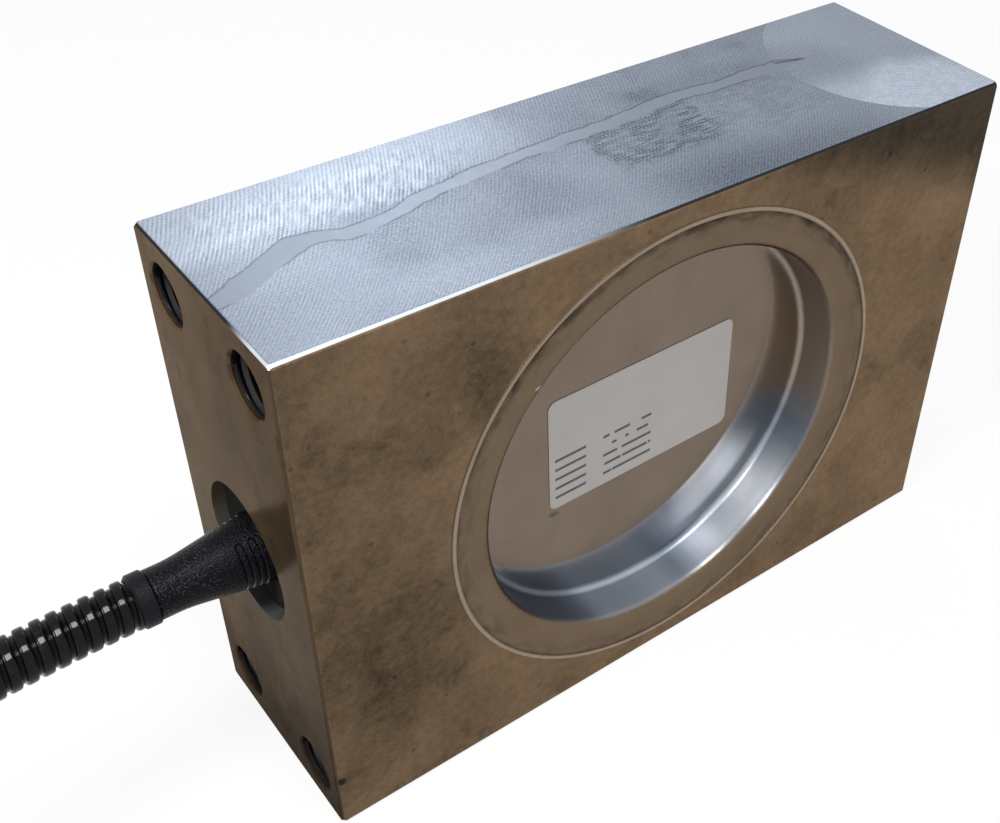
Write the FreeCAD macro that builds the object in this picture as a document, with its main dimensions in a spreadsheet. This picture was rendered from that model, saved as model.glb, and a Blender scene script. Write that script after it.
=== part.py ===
"""Single-point load cell: a steel block with a sealed round measuring chamber, bolted by its two ends.

Frame, in millimetres: X runs along the block, Y through its thickness and Z up. The origin is the middle
of the underside. The covers face -Y and +Y. The lead leaves the end that faces -X.
"""

import FreeCAD, Part
import math
import os

import Sketcher
from FreeCAD import Placement, Rotation, Vector

DIMENSIONS = [
    # the block
    ("block_length", 170),
    ("block_height", 120),
    ("block_depth", 50),
    ("block_chamfer", 0.8),
    ("chamber_radius", 50),
    ("boss_height", 28),
    ("boss_reach", 28),
    ("boss_front", 6),
    ("boss_back", 8),
    ("boss_fillet", 4),
    # the tapped holes in both ends
    ("bolt_radius", 6),
    ("bolt_thread_pitch", 1.75),
    ("bolt_mouth", 0.4),
    ("bolt_depth", 30),
    ("bolt_pitch_across", 30),
    ("bolt_pitch_up", 100),
    # the drawn covers, welded in flush
    ("sheet", 0.8),
    ("weld_radius", 55),
    ("weld_width", 1.1),
    ("weld_crown", 0.25),
    ("cup_radius", 46.2),
    ("cup_depth", 11),
    ("cup_lip", 2.4),
    ("cup_corner", 1.4),
    # the type label
    ("label_width", 49),
    ("label_height", 29.5),
    ("label_corner", 2),
    ("label_thickness", 0.15),
    ("label_shift", -0.7),
    ("label_rise", 2.25),
    ("label_tilt", 1.2),
    # the cable entry
    ("entry_radius", 14.5),
    ("entry_depth", 6.5),
    ("gland_sunk", 2.5),
    ("gland_gap", 0.25),
    ("gland_edge", 0.6),
    ("stub_radius", 7),
    ("stub_length", 13),
    ("wire_bore_radius", 3),
    ("core_radius", 2.5),
    ("core_end", 24),
    ("ring_section", 0.85),
    ("seal_radius", 4.4),
    ("seal_length", 6),
    ("snout_radius", 5),
    # the strain relief and the hose collar
    ("boot_root_radius", 7.35),
    ("boot_tip_radius", 4.95),
    ("boot_length", 18.9),
    ("boot_neck", 5),
    ("boot_flare", 30),
    ("slot_width", 1.2),
    ("slot_depth", 0.4),
    ("slot_pitch", 2.5),
    ("slot_first", 0.6),
    ("slot_span", 124),
    ("collar_radius", 5.35),
    ("collar_length", 3.4),
    ("collar_chamfer", 0.6),
    # the sensing beam in the chamber
    ("beam_length", 88),
    ("beam_height", 24),
    ("beam_thickness", 6),
    ("beam_bore_radius", 9),
    ("beam_bore_pitch", 24),
    ("beam_slot", 3),
    ("beam_bolt_across", 72),
    ("beam_bolt_up", 13),
    ("beam_screw_radius", 2),
    ("beam_head_radius", 3.5),
    ("beam_head", 4),
    ("beam_key", 1.7),
    ("beam_screw_grip", 9),
    ("gauge_length", 7),
    ("gauge_width", 4),
    ("gauge_thickness", 0.3),
    # the bridge board behind the beam
    ("board_length", 68),
    ("board_height", 22),
    ("board_thickness", 1.2),
    ("board_gap", 2),
    ("board_bolt_across", 60),
    ("board_bolt_up", 15),
    ("board_post_radius", 2),
    ("board_screw_radius", 1),
    ("board_head", 0.7),
    ("chip_side", 7),
    ("chip_height", 1),
    ("wire_radius", 0.45),
    ("wire_pitch", 1.4),
    ("wire_bend", 4),
    # the lead: hose, coil and plug
    ("hose_radius", 5),
    ("hose_turns", 4.547),
    ("coil_radius", 58),
    ("coil_heading", 17),
    ("coil_stub", 37),
    ("coil_tail", 36),
    ("coil_round", 4),
    ("plug_slope", 2.7),
    ("plug_boot_length", 13.6),
    ("plug_boot_root", 6.2),
    ("plug_groove", 0.6),
    ("plug_body_radius", 7.5),
    ("plug_body_length", 21),
    ("plug_flutes", 12),
    ("plug_flute_radius", 1.2),
    ("plug_chamfer", 0.8),
    ("shell_radius", 6),
    ("shell_wall", 0.8),
    ("shell_length", 12),
    ("shell_sunk", 4),
    ("shell_key", 1.2),
    ("pin_radius", 0.5),
    ("pin_circle", 2.5),
    ("pin_length", 9),
    ("pin_sunk", 2),
]

# The hose's route from the collar to the coil: hand-laid points between the two, as X, Y and Z.
HOSE_BENDS = [(-138.0, 0.0, 60.0), (-168.5, -5.0, 58.0)]
COIL_RUN = 54.0  # from the last bend to where the coil's turns begin

HALF_LENGTH = "Sizes.block_length / 2"
HALF_DEPTH = "Sizes.block_depth / 2"
HALF_HEIGHT = "Sizes.block_height / 2"
BACK_TO_BACK = Rotation(Vector(0, 0, 1), 180)

doc = FreeCAD.newDocument("load_cell")
sheet = doc.addObject("Spreadsheet::Sheet", "Sizes")
nodes = []


def fill_sheet():
    for row, (alias, number) in enumerate(DIMENSIONS, start=1):
        sheet.set(f"A{row}", alias)
        sheet.set(f"B{row}", str(number))
        sheet.setAlias(f"B{row}", alias)
    doc.recompute()


def value(expression):
    """The number that an expression on the sheet stands for."""
    return float(sheet.evalExpression(expression))


def size(alias):
    return value(f"Sizes.{alias}")


# ---------------------------------------------------------------- building blocks


def new_body(name):
    body = doc.addObject("PartDesign::Body", name)
    body.Label = name
    nodes.append(body)
    return body


def keep(part, name):
    part.Label = name
    nodes.append(part)
    return part


def sketch_on(body, name, role, out=None, up=None):
    """A sketch on one of the body's own planes, moved out along its normal and up along its own Y."""
    sketch = body.newObject("Sketcher::SketchObject", name)
    plane = next(p for p in body.Origin.OriginFeatures if p.Role == role)
    sketch.AttachmentSupport = [(plane, "")]
    sketch.MapMode = "FlatFace"
    for axis, expression in (("z", out), ("y", up)):
        if expression:
            sketch.setExpression(f"AttachmentOffset.Base.{axis}", expression)
    return sketch


def pin_point(sketch, geometry, end, x, y):
    """Ties a point to the sketch's origin by two distances, each an expression."""
    for kind, axis, expression in (("DistanceX", -2, x), ("DistanceY", -1, y)):
        if value(expression) == 0:
            sketch.addConstraint(Sketcher.Constraint("PointOnObject", geometry, end, axis))
            continue
        index = sketch.addConstraint(Sketcher.Constraint(kind, -1, 1, geometry, end, value(expression)))
        sketch.setExpression(f"Constraints[{index}]", expression)


def outline(sketch, corners):
    """A closed outline of straight lines through corners, each a pair of expressions."""
    places = [Vector(value(x), value(y), 0) for x, y in corners]
    first = sketch.GeometryCount
    count = len(corners)
    for a, b in zip(places, places[1:] + places[:1]):
        sketch.addGeometry(Part.LineSegment(a, b), False)
    for i in range(count):
        sketch.addConstraint(Sketcher.Constraint("Coincident", first + i, 2, first + (i + 1) % count, 1))
    for i, (x, y) in enumerate(corners):
        pin_point(sketch, first + i, 1, x, y)


def rectangle(sketch, x0, x1, y0, y1):
    outline(sketch, [(x0, y0), (x1, y0), (x1, y1), (x0, y1)])


def circle(sketch, x, y, radius):
    centre = Vector(value(x), value(y), 0)
    index = sketch.addGeometry(Part.Circle(centre, Vector(0, 0, 1), value(radius)), False)
    pin_point(sketch, index, 3, x, y)
    limit = sketch.addConstraint(Sketcher.Constraint("Radius", index, value(radius)))
    sketch.setExpression(f"Constraints[{limit}]", radius)


def extrude(body, kind, name, sketch, length=None, both_ways=False, reverse=False):
    """A Pad or a Pocket. Without a length it goes right through."""
    feature = body.newObject(f"PartDesign::{kind}", name)
    feature.Profile = sketch
    feature.SideType = "Symmetric" if both_ways else "One side"
    feature.Reversed = reverse
    if length:
        feature.setExpression("Length", length)
    else:
        feature.Type = "ThroughAll"
    return done(body, feature)


def turned(body, kind, name, sketch, angle=None):
    """A Revolution or a Groove about the sketch's own X axis. angle is centred on the sketch."""
    feature = body.newObject(f"PartDesign::{kind}", name)
    feature.Profile = sketch
    feature.ReferenceAxis = (sketch, ["H_Axis"])
    if angle:
        feature.Midplane = True
        feature.setExpression("Angle", angle)
    else:
        feature.Angle = 360
    return done(body, feature)


def done(body, feature):
    body.Tip = feature
    doc.recompute()
    return feature


def edges_where(feature, test):
    """The names of the edges whose every end and middle passes test(point)."""
    found = []
    for number, edge in enumerate(feature.Shape.Edges, start=1):
        points = [v.Point for v in edge.Vertexes]
        points.append(edge.valueAt((edge.FirstParameter + edge.LastParameter) / 2))
        if all(test(p) for p in points):
            found.append(f"Edge{number}")
    return found


def soften(body, kind, name, test, amount):
    """A Fillet or a Chamfer on the edges of the body's last feature that pass the test."""
    base = body.Tip
    feature = body.newObject(f"PartDesign::{kind}", name)
    feature.Base = (base, edges_where(base, test))
    feature.setExpression("Radius" if kind == "Fillet" else "Size", amount)
    return done(body, feature)


def mirrored(body, name, originals, role):
    feature = body.newObject("PartDesign::Mirrored", name)
    feature.Originals = originals
    feature.MirrorPlane = (next(p for p in body.Origin.OriginFeatures if p.Role == role), [""])
    return done(body, feature)


def near(a, b, slack=0.01):
    return abs(a - b) < slack


def off_axis(point, height):
    """How far a point is from the line along Y at that height."""
    return math.hypot(point.x, point.z - height)


def cylinder(radius, length, at, direction):
    """A Part cylinder bound to the sheet, standing at a point along a direction."""
    part = doc.addObject("Part::Cylinder", "Cylinder")
    part.setExpression("Radius", radius)
    part.setExpression("Height", length)
    part.Placement = Placement(at, Rotation(Vector(0, 0, 1), direction))
    return part


def box(length, width, height, corner):
    part = doc.addObject("Part::Box", "Box")
    for side, expression in (("Length", length), ("Width", width), ("Height", height)):
        part.setExpression(side, expression)
    part.Placement = Placement(corner, Rotation())
    return part


def joined(parts):
    part = doc.addObject("Part::MultiFuse", "Fusion")
    part.Shapes = parts
    return part


def cut(base, tool):
    part = doc.addObject("Part::Cut", "Cut")
    part.Base = base
    part.Tool = tool
    return part


def grouped(parts, name):
    """Identical loose pieces as one node."""
    part = doc.addObject("Part::Compound", name)
    part.Links = parts
    return keep(part, name)


def corners_of(across, up, middle):
    """The four corners of a rectangle of holes, as pairs of X and Z."""
    return [(i * across / 2, middle + k * up / 2) for i in (-1, 1) for k in (-1, 1)]


# ---------------------------------------------------------------- the block


def load_cell_body():
    """One milled block. The round chamber leaves the walls above and below it as parallel guides, and the
    two bosses in it carry the sensing beam."""
    body = new_body("load_cell_body")
    face = sketch_on(body, "block_face", "XZ_Plane")
    rectangle(face, f"-{HALF_LENGTH}", HALF_LENGTH, "0", "Sizes.block_height")
    extrude(body, "Pad", "block", face, "Sizes.block_depth", both_ways=True)
    soften(body, "Chamfer", "block_edges", lambda p: True, "Sizes.block_chamfer")
    chamber = sketch_on(body, "chamber_circle", "XZ_Plane", out=HALF_DEPTH)
    circle(chamber, "0", HALF_HEIGHT, "Sizes.chamber_radius")
    extrude(body, "Pocket", "chamber", chamber)
    seat = sketch_on(body, "seat_circle", "XZ_Plane", out=HALF_DEPTH)
    circle(seat, "0", HALF_HEIGHT, "Sizes.weld_radius + Sizes.weld_width / 2")
    front_seat = extrude(body, "Pocket", "front_seat", seat, "Sizes.sheet")
    mirrored(body, "rear_seat", [front_seat], "XZ_Plane")
    boss = sketch_on(body, "boss_outline", "XZ_Plane", out="Sizes.boss_front")
    inner, half = "Sizes.chamber_radius - Sizes.boss_reach", "Sizes.boss_height / 2"
    rectangle(boss, inner, "Sizes.chamber_radius + 1", f"{HALF_HEIGHT} - {half}", f"{HALF_HEIGHT} + {half}")
    right = extrude(body, "Pad", "right_boss", boss, "Sizes.boss_front + Sizes.boss_back", reverse=True)
    mirrored(body, "left_boss", [right], "YZ_Plane")
    middle, reach = size("block_height") / 2, size("chamber_radius")
    soften(
        body, "Fillet", "boss_roots",
        lambda p: near(abs(p.z - middle), size("boss_height") / 2) and near(off_axis(p, middle), reach, 0.5)
        and abs(p.y) < size("boss_back") + 0.01,
        "Sizes.boss_fillet",
    )
    end_holes(body, "left")
    end_holes(body, "right")
    cable_entry(body)
    beam_threads(body)
    return body


def end_holes(body, end):
    """The four M12 holes in one end, as plain bores with a countersunk mouth. The left end's bores have the
    thread's outer radius and the right end's its tap-drill radius, so that two bores on one axis differ."""
    tap_drill = "(Sizes.bolt_radius - Sizes.bolt_thread_pitch / 2)"
    radius = "Sizes.bolt_radius" if end == "left" else tap_drill
    points = sketch_on(body, f"{end}_end_points", "YZ_Plane", out=("-" if end == "left" else "") + HALF_LENGTH)
    for i in ("-", ""):
        for k in ("-", "+"):
            circle(points, f"{i}Sizes.bolt_pitch_across / 2", f"{HALF_HEIGHT} {k} Sizes.bolt_pitch_up / 2",
                   radius)
    hole = body.newObject("PartDesign::Hole", f"{end}_end_holes")
    hole.Profile = points
    hole.Reversed = end == "left"
    hole.setExpression("Diameter", f"{radius} * 2")
    hole.DepthType = "Dimension"
    hole.setExpression("Depth", "Sizes.bolt_depth")
    hole.DrillPoint = "Angled"
    hole.HoleCutType = "Countersink"
    hole.HoleCutCustomValues = True
    hole.setExpression("HoleCutDiameter", f"({radius} + Sizes.bolt_mouth) * 2")
    hole.HoleCutCountersinkAngle = 90
    done(body, hole)


def cable_entry(body):
    """The round recess for the gland, the bore for its stub and the long bore for the wires."""
    steps = [
        ("gland_recess", "Sizes.entry_radius", "Sizes.entry_depth"),
        ("stub_bore", "Sizes.stub_radius", "Sizes.entry_depth + Sizes.stub_length"),
        ("wire_bore", "Sizes.wire_bore_radius", f"{HALF_LENGTH} - Sizes.chamber_radius + Sizes.boss_reach + 1"),
    ]
    for name, radius, depth in steps:
        mouth = sketch_on(body, f"{name}_circle", "YZ_Plane", out=f"-{HALF_LENGTH}")
        circle(mouth, "0", HALF_HEIGHT, radius)
        extrude(body, "Pocket", name, mouth, depth, reverse=True)


def beam_threads(body):
    """Four blind holes in the front faces of the bosses for the beam's screws."""
    points = sketch_on(body, "beam_thread_points", "XZ_Plane", out="Sizes.boss_front")
    for i in ("-", ""):
        for k in ("-", "+"):
            circle(points, f"{i}Sizes.beam_bolt_across / 2", f"{HALF_HEIGHT} {k} Sizes.beam_bolt_up / 2",
                   "Sizes.beam_screw_radius")
    extrude(body, "Pocket", "beam_threads", points, "Sizes.beam_screw_grip")


# ---------------------------------------------------------------- covers, welds and label


def cover_cup(name):
    """A drawn sheet cup: a flat flange, a rounded lip, a straight wall and a flat bottom."""
    body = new_body(name)
    profile = sketch_on(body, f"{name}_profile", "YZ_Plane", up=HALF_HEIGHT)
    face, back = f"-{HALF_DEPTH}", f"-{HALF_DEPTH} + Sizes.sheet"
    bottom = f"-{HALF_DEPTH} + Sizes.cup_depth"
    rim = "Sizes.weld_radius - Sizes.weld_width / 2"
    wall = "Sizes.cup_radius + Sizes.sheet"
    outline(profile, [
        (face, rim), (face, "Sizes.cup_radius"), (bottom, "Sizes.cup_radius"), (bottom, "0"),
        (f"{bottom} + Sizes.sheet", "0"), (f"{bottom} + Sizes.sheet", wall), (back, wall), (back, rim),
    ])
    turned(body, "Revolution", f"{name}_sheet", profile)
    middle, front = size("block_height") / 2, -size("block_depth") / 2
    inner, floor = size("cup_radius"), front + size("cup_depth")
    bends = [
        ("lip", inner, front, "Sizes.cup_lip"),
        ("lip_back", inner + size("sheet"), front + size("sheet"), "Sizes.cup_lip - Sizes.sheet"),
        ("corner", inner, floor, "Sizes.cup_corner"),
        ("corner_back", inner + size("sheet"), floor + size("sheet"), "Sizes.cup_corner + Sizes.sheet"),
    ]
    for bend, radius, depth, amount in bends:
        soften(body, "Fillet", f"{name}_{bend}",
               lambda p, r=radius, y=depth: near(off_axis(p, middle), r) and near(p.y, y), amount)
    return body


def weld_bead(name):
    """The closing weld between the cover's rim and its seat, standing a little proud."""
    body = new_body(name)
    profile = sketch_on(body, f"{name}_profile", "YZ_Plane", up=HALF_HEIGHT)
    inside, outside = (f"Sizes.weld_radius {side} Sizes.weld_width / 2" for side in "-+")
    crown, root = f"-{HALF_DEPTH} - Sizes.weld_crown", f"-{HALF_DEPTH} + Sizes.sheet"
    rectangle(profile, crown, root, inside, outside)
    turned(body, "Revolution", f"{name}_ring", profile)
    top = -size("block_depth") / 2 - size("weld_crown")
    soften(body, "Fillet", f"{name}_crown", lambda p: near(p.y, top), "Sizes.weld_crown * 0.95")
    return body


def type_label():
    """A blank foil label, stuck a little askew to the bottom of the front cup."""
    body = new_body("type_label")
    face = sketch_on(body, "label_outline", "XZ_Plane", out=f"{HALF_DEPTH} - Sizes.cup_depth")
    wide, high = "Sizes.label_width / 2", "Sizes.label_height / 2"
    rectangle(face, f"-{wide}", wide, f"-{high}", high)
    extrude(body, "Pad", "label_foil", face, "Sizes.label_thickness")
    half_width, half_height = size("label_width") / 2, size("label_height") / 2
    at_corner = lambda p: near(abs(p.x), half_width) and near(abs(p.z), half_height)
    soften(body, "Fillet", "label_corners", at_corner, "Sizes.label_corner")
    middle = FreeCAD.Vector(size("label_shift"), 0, size("block_height") / 2 + size("label_rise"))
    body.Placement = FreeCAD.Placement(middle, FreeCAD.Rotation(FreeCAD.Vector(0, -1, 0), size("label_tilt")))
    return body


# ---------------------------------------------------------------- what is in the chamber


def sensing_beam():
    """The measuring beam: two bores joined by a slot leave four thin strips that bend under load."""
    body = new_body("sensing_beam")
    front = "Sizes.boss_front + Sizes.beam_thickness"
    face = sketch_on(body, "beam_outline", "XZ_Plane", out=front, up=HALF_HEIGHT)
    long, high = "Sizes.beam_length / 2", "Sizes.beam_height / 2"
    rectangle(face, f"-{long}", long, f"-{high}", high)
    extrude(body, "Pad", "beam_bar", face, "Sizes.beam_thickness", reverse=True)
    bores = sketch_on(body, "beam_bore_circles", "XZ_Plane", out=front, up=HALF_HEIGHT)
    for side in ("-", ""):
        circle(bores, f"{side}Sizes.beam_bore_pitch / 2", "0", "Sizes.beam_bore_radius")
    extrude(body, "Pocket", "beam_bores", bores)
    slot = sketch_on(body, "beam_slot_outline", "XZ_Plane", out=front, up=HALF_HEIGHT)
    half = "Sizes.beam_bore_pitch / 2"
    rectangle(slot, f"-{half}", half, "-Sizes.beam_slot / 2", "Sizes.beam_slot / 2")
    extrude(body, "Pocket", "beam_slot_cut", slot)
    for name, radius, depth in (
        ("beam_screw_holes", "Sizes.beam_screw_radius", None),
        ("beam_head_seats", "Sizes.beam_head_radius", "Sizes.beam_head"),
    ):
        points = sketch_on(body, f"{name}_points", "XZ_Plane", out=front, up=HALF_HEIGHT)
        for i in ("-", ""):
            for k in ("-", ""):
                circle(points, f"{i}Sizes.beam_bolt_across / 2", f"{k}Sizes.beam_bolt_up / 2", radius)
        extrude(body, "Pocket", name, points, depth)
    return body


def beam_screws():
    """Four socket-head screws that hold the beam to the bosses, flush in its front."""
    front = -size("boss_front") - size("beam_thickness")
    into = Vector(0, 1, 0)
    screws = []
    for x, z in corners_of(size("beam_bolt_across"), size("beam_bolt_up"), size("block_height") / 2):
        head = cylinder("Sizes.beam_head_radius", "Sizes.beam_head", Vector(x, front, z), into)
        grip = "Sizes.beam_thickness + Sizes.beam_screw_grip - Sizes.beam_head / 2"
        shank = cylinder("Sizes.beam_screw_radius", grip, Vector(x, front + size("beam_head") / 2, z), into)
        key = doc.addObject("Part::Prism", "Socket")
        key.Polygon = 6
        key.setExpression("Circumradius", "Sizes.beam_key")
        key.setExpression("Height", "Sizes.beam_head / 2")
        key.Placement = Placement(Vector(x, front, z), Rotation(Vector(0, 0, 1), into))
        screws.append(cut(joined([head, shank]), key))
    return grouped(screws, "beam_screws")


def strain_gauges():
    """Four gauges on the beam's top and bottom, over the thinnest strips."""
    gauges = []
    half = size("beam_height") / 2
    middle = size("block_height") / 2
    y = -size("boss_front") - size("beam_thickness") / 2 - size("gauge_width") / 2
    for x in (-size("beam_bore_pitch") / 2, size("beam_bore_pitch") / 2):
        for z in (middle + half, middle - half - size("gauge_thickness")):
            corner = Vector(x - size("gauge_length") / 2, y, z)
            gauges.append(box("Sizes.gauge_length", "Sizes.gauge_width", "Sizes.gauge_thickness", corner))
    return grouped(gauges, "strain_gauges")


def bridge_board():
    """The board that completes and trims the bridge, on four posts behind the bosses."""
    body = new_body("bridge_board")
    near_face = "Sizes.boss_back + Sizes.board_gap"
    face = sketch_on(body, "board_outline", "XZ_Plane", out=f"-({near_face})", up=HALF_HEIGHT)
    long, high = "Sizes.board_length / 2", "Sizes.board_height / 2"
    rectangle(face, f"-{long}", long, f"-{high}", high)
    for i in ("-", ""):
        for k in ("-", ""):
            circle(face, f"{i}Sizes.board_bolt_across / 2", f"{k}Sizes.board_bolt_up / 2",
                   "Sizes.board_screw_radius")
    extrude(body, "Pad", "board_plate", face, "Sizes.board_thickness", reverse=True)
    return body


def board_posts_and_screws():
    """Four round posts, and the four pan-head screws that hold the board down on them."""
    posts, screws = [], []
    away = Vector(0, 1, 0)
    seat = size("boss_back")
    top = seat + size("board_gap") + size("board_thickness")
    for x, z in corners_of(size("board_bolt_across"), size("board_bolt_up"), size("block_height") / 2):
        post = cylinder("Sizes.board_post_radius", "Sizes.board_gap", Vector(x, seat, z), away)
        bore = cylinder("Sizes.board_screw_radius", "Sizes.board_gap", Vector(x, seat, z), away)
        posts.append(cut(post, bore))
        shank = cylinder("Sizes.board_screw_radius", "Sizes.board_gap + Sizes.board_thickness + 0.1",
                         Vector(x, seat, z), away)
        head = cylinder("Sizes.board_post_radius", "Sizes.board_head", Vector(x, top, z), away)
        screws.append(joined([shank, head]))
    grouped(posts, "board_posts")
    grouped(screws, "board_screws")


def board_chip():
    """The amplifier chip on the back of the board."""
    half = size("chip_side") / 2
    y = size("boss_back") + size("board_gap") + size("board_thickness")
    corner = Vector(-half, y, size("block_height") / 2 - half)
    return keep(box("Sizes.chip_side", "Sizes.chip_height", "Sizes.chip_side", corner), "board_chip")


def signal_wires():
    """Four wires from the end of the cable core to the front of the board."""
    wires = []
    start, finish = -size("core_end"), size("boss_back") + size("board_gap")
    middle = size("block_height") / 2
    for i in (-0.5, 0.5):
        for k in (-0.5, 0.5):
            y, z = i * size("wire_pitch"), middle + k * size("wire_pitch")
            turn = start + 2.5 * size("wire_bend") - y
            route = [Vector(start, y, z), Vector(turn, y, z), Vector(turn, finish, z)]
            wire = doc.addObject("Part::Feature", "Wire")
            wire.Shape = tube(route, size("wire_radius"), [size("wire_bend") - y])
            wires.append(wire)
    return grouped(wires, "signal_wires")


# ---------------------------------------------------------------- the cable entry


def gland_body():
    """A turned gland: a disc that seats in the recess, a stub in the wall and a short snout for the boot."""
    body = new_body("gland_body")
    profile = sketch_on(body, "gland_profile", "XZ_Plane", up=HALF_HEIGHT)
    face = f"-{HALF_LENGTH} + Sizes.gland_sunk"
    seat = f"-{HALF_LENGTH} + Sizes.entry_depth"
    disc = "Sizes.entry_radius - Sizes.gland_gap"
    groove = "Sizes.entry_radius - Sizes.ring_section * 2"
    groove_near, groove_far = (f"({face} + {seat}) / 2 {side} Sizes.ring_section" for side in "-+")
    end = f"{seat} + Sizes.stub_length"
    outline(profile, [
        (f"-{HALF_LENGTH}", "Sizes.seal_radius"), (f"-{HALF_LENGTH}", "Sizes.snout_radius"),
        (face, "Sizes.snout_radius"), (face, f"{disc} - Sizes.gland_edge"),
        (f"{face} + Sizes.gland_edge", disc), (groove_near, disc), (groove_near, groove),
        (groove_far, groove), (groove_far, disc), (seat, disc), (seat, "Sizes.stub_radius"),
        (end, "Sizes.stub_radius"), (end, "Sizes.core_radius"),
        (f"-{HALF_LENGTH} + Sizes.seal_length", "Sizes.core_radius"),
        (f"-{HALF_LENGTH} + Sizes.seal_length", "Sizes.seal_radius"),
    ])
    turned(body, "Revolution", "gland_turned", profile)
    return body


def gland_ring():
    """The O-ring in the gland's groove, pressed against the recess."""
    ring = doc.addObject("Part::Torus", "gland_ring")
    ring.setExpression("Radius1", "Sizes.entry_radius - Sizes.ring_section")
    ring.setExpression("Radius2", "Sizes.ring_section")
    x = -size("block_length") / 2 + (size("gland_sunk") + size("entry_depth")) / 2
    ring.Placement = Placement(Vector(x, 0, size("block_height") / 2), Rotation(Vector(0, 1, 0), 90))
    return keep(ring, "gland_ring")


def sleeve(name, outer, inner, length, x, z):
    """A plain sleeve along X."""
    at = Vector(x, 0, z)
    along = Vector(1, 0, 0)
    return keep(cut(cylinder(outer, length, at, along), cylinder(inner, length, at, along)), name)


def cable_seal():
    """The rubber sleeve that grips the cable core in the gland's snout."""
    x = -size("block_length") / 2
    return sleeve("cable_seal", "Sizes.seal_radius", "Sizes.core_radius", "Sizes.seal_length", x,
                  size("block_height") / 2)


def cable_core():
    """The jacketed core, from the hose's end through the boot, the gland and the wall to the chamber."""
    start = hose_start()
    length = f"{HALF_LENGTH} + Sizes.boot_length + Sizes.collar_length - Sizes.core_end"
    return keep(cylinder("Sizes.core_radius", length, start, Vector(1, 0, 0)), "cable_core")


def strain_relief_boot():
    """The moulded boot: a neck that flares to its root in the recess, with rows of flexing slots."""
    body = new_body("strain_relief_boot")
    profile = sketch_on(body, "boot_profile", "XZ_Plane", up=HALF_HEIGHT)
    root = f"-{HALF_LENGTH} + Sizes.gland_sunk"
    tip = f"-{HALF_LENGTH} - Sizes.boot_length"
    outline(profile, [
        (tip, "Sizes.core_radius"), (tip, "Sizes.boot_tip_radius"),
        (f"{tip} + Sizes.boot_neck", "Sizes.boot_tip_radius"), (root, "Sizes.boot_root_radius"),
        (root, "Sizes.snout_radius"), (f"-{HALF_LENGTH}", "Sizes.snout_radius"),
        (f"-{HALF_LENGTH}", "Sizes.core_radius"),
    ])
    turned(body, "Revolution", "boot_turned", profile)
    bend = -size("block_length") / 2 - size("boot_length") + size("boot_neck")
    soften(body, "Fillet", "boot_flare_curve", lambda p: near(p.x, bend), "Sizes.boot_flare")
    slots = sketch_on(body, "boot_slot_profiles", "XY_Plane", out=HALF_HEIGHT)
    for row in range(2):
        left = f"-{HALF_LENGTH} + Sizes.slot_first - Sizes.slot_pitch * {row}"
        deep = f"Sizes.boot_root_radius - Sizes.slot_depth - Sizes.slot_pitch * {row} * 0.14"
        for side in ("", "-"):
            rectangle(slots, f"{left} - Sizes.slot_width", left, f"{side}({deep})", f"{side}(Sizes.boot_root_radius + 1)")
    turned(body, "Groove", "boot_slots", slots, "Sizes.slot_span")
    return body


def collar_ring(name):
    """The collar that closes the hose's end, with both rims chamfered. It starts at its own X = 0."""
    body = new_body(name)
    profile = sketch_on(body, f"{name}_profile", "XZ_Plane")
    top, end, edge = "Sizes.collar_radius", "Sizes.collar_length", "Sizes.collar_chamfer"
    outline(profile, [
        ("0", "Sizes.core_radius"), ("0", f"{top} - {edge}"), (edge, top), (f"{end} - {edge} / 2", top),
        (end, f"{top} - {edge} / 2"), (end, "Sizes.core_radius"),
    ])
    turned(body, "Revolution", f"{name}_turned", profile)
    return body


# ---------------------------------------------------------------- the lead


def hose_start():
    reach = size("block_length") / 2 + size("boot_length") + size("collar_length")
    return Vector(-reach, 0, size("block_height") / 2)


def coil_places():
    """Where the coil's turns begin, their middle, the entry stub's end and the tail's end."""
    angle = math.radians(size("coil_heading"))
    heading = Vector(-math.cos(angle), -math.sin(angle), 0)
    inward = Vector(-math.sin(angle), math.cos(angle), 0)
    turn_height = 2 * size("hose_radius") * size("hose_turns")
    begin = Vector(*HOSE_BENDS[-1]) + heading * COIL_RUN
    begin.z = size("hose_radius") + turn_height
    middle = begin + inward * size("coil_radius")
    slope = math.radians(size("plug_slope"))
    leave = Vector(middle.x, middle.y + size("coil_radius"), size("hose_radius"))
    tail = leave + Vector(math.cos(slope), 0, math.sin(slope)) * size("coil_tail")
    stub = begin - heading * size("coil_stub")
    rise = (HOSE_BENDS[-1][2] - begin.z) * size("coil_stub") / COIL_RUN
    stub.z = begin.z + rise
    return {"begin": begin, "middle": middle, "stub": stub, "leave": leave, "tail": tail}


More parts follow.
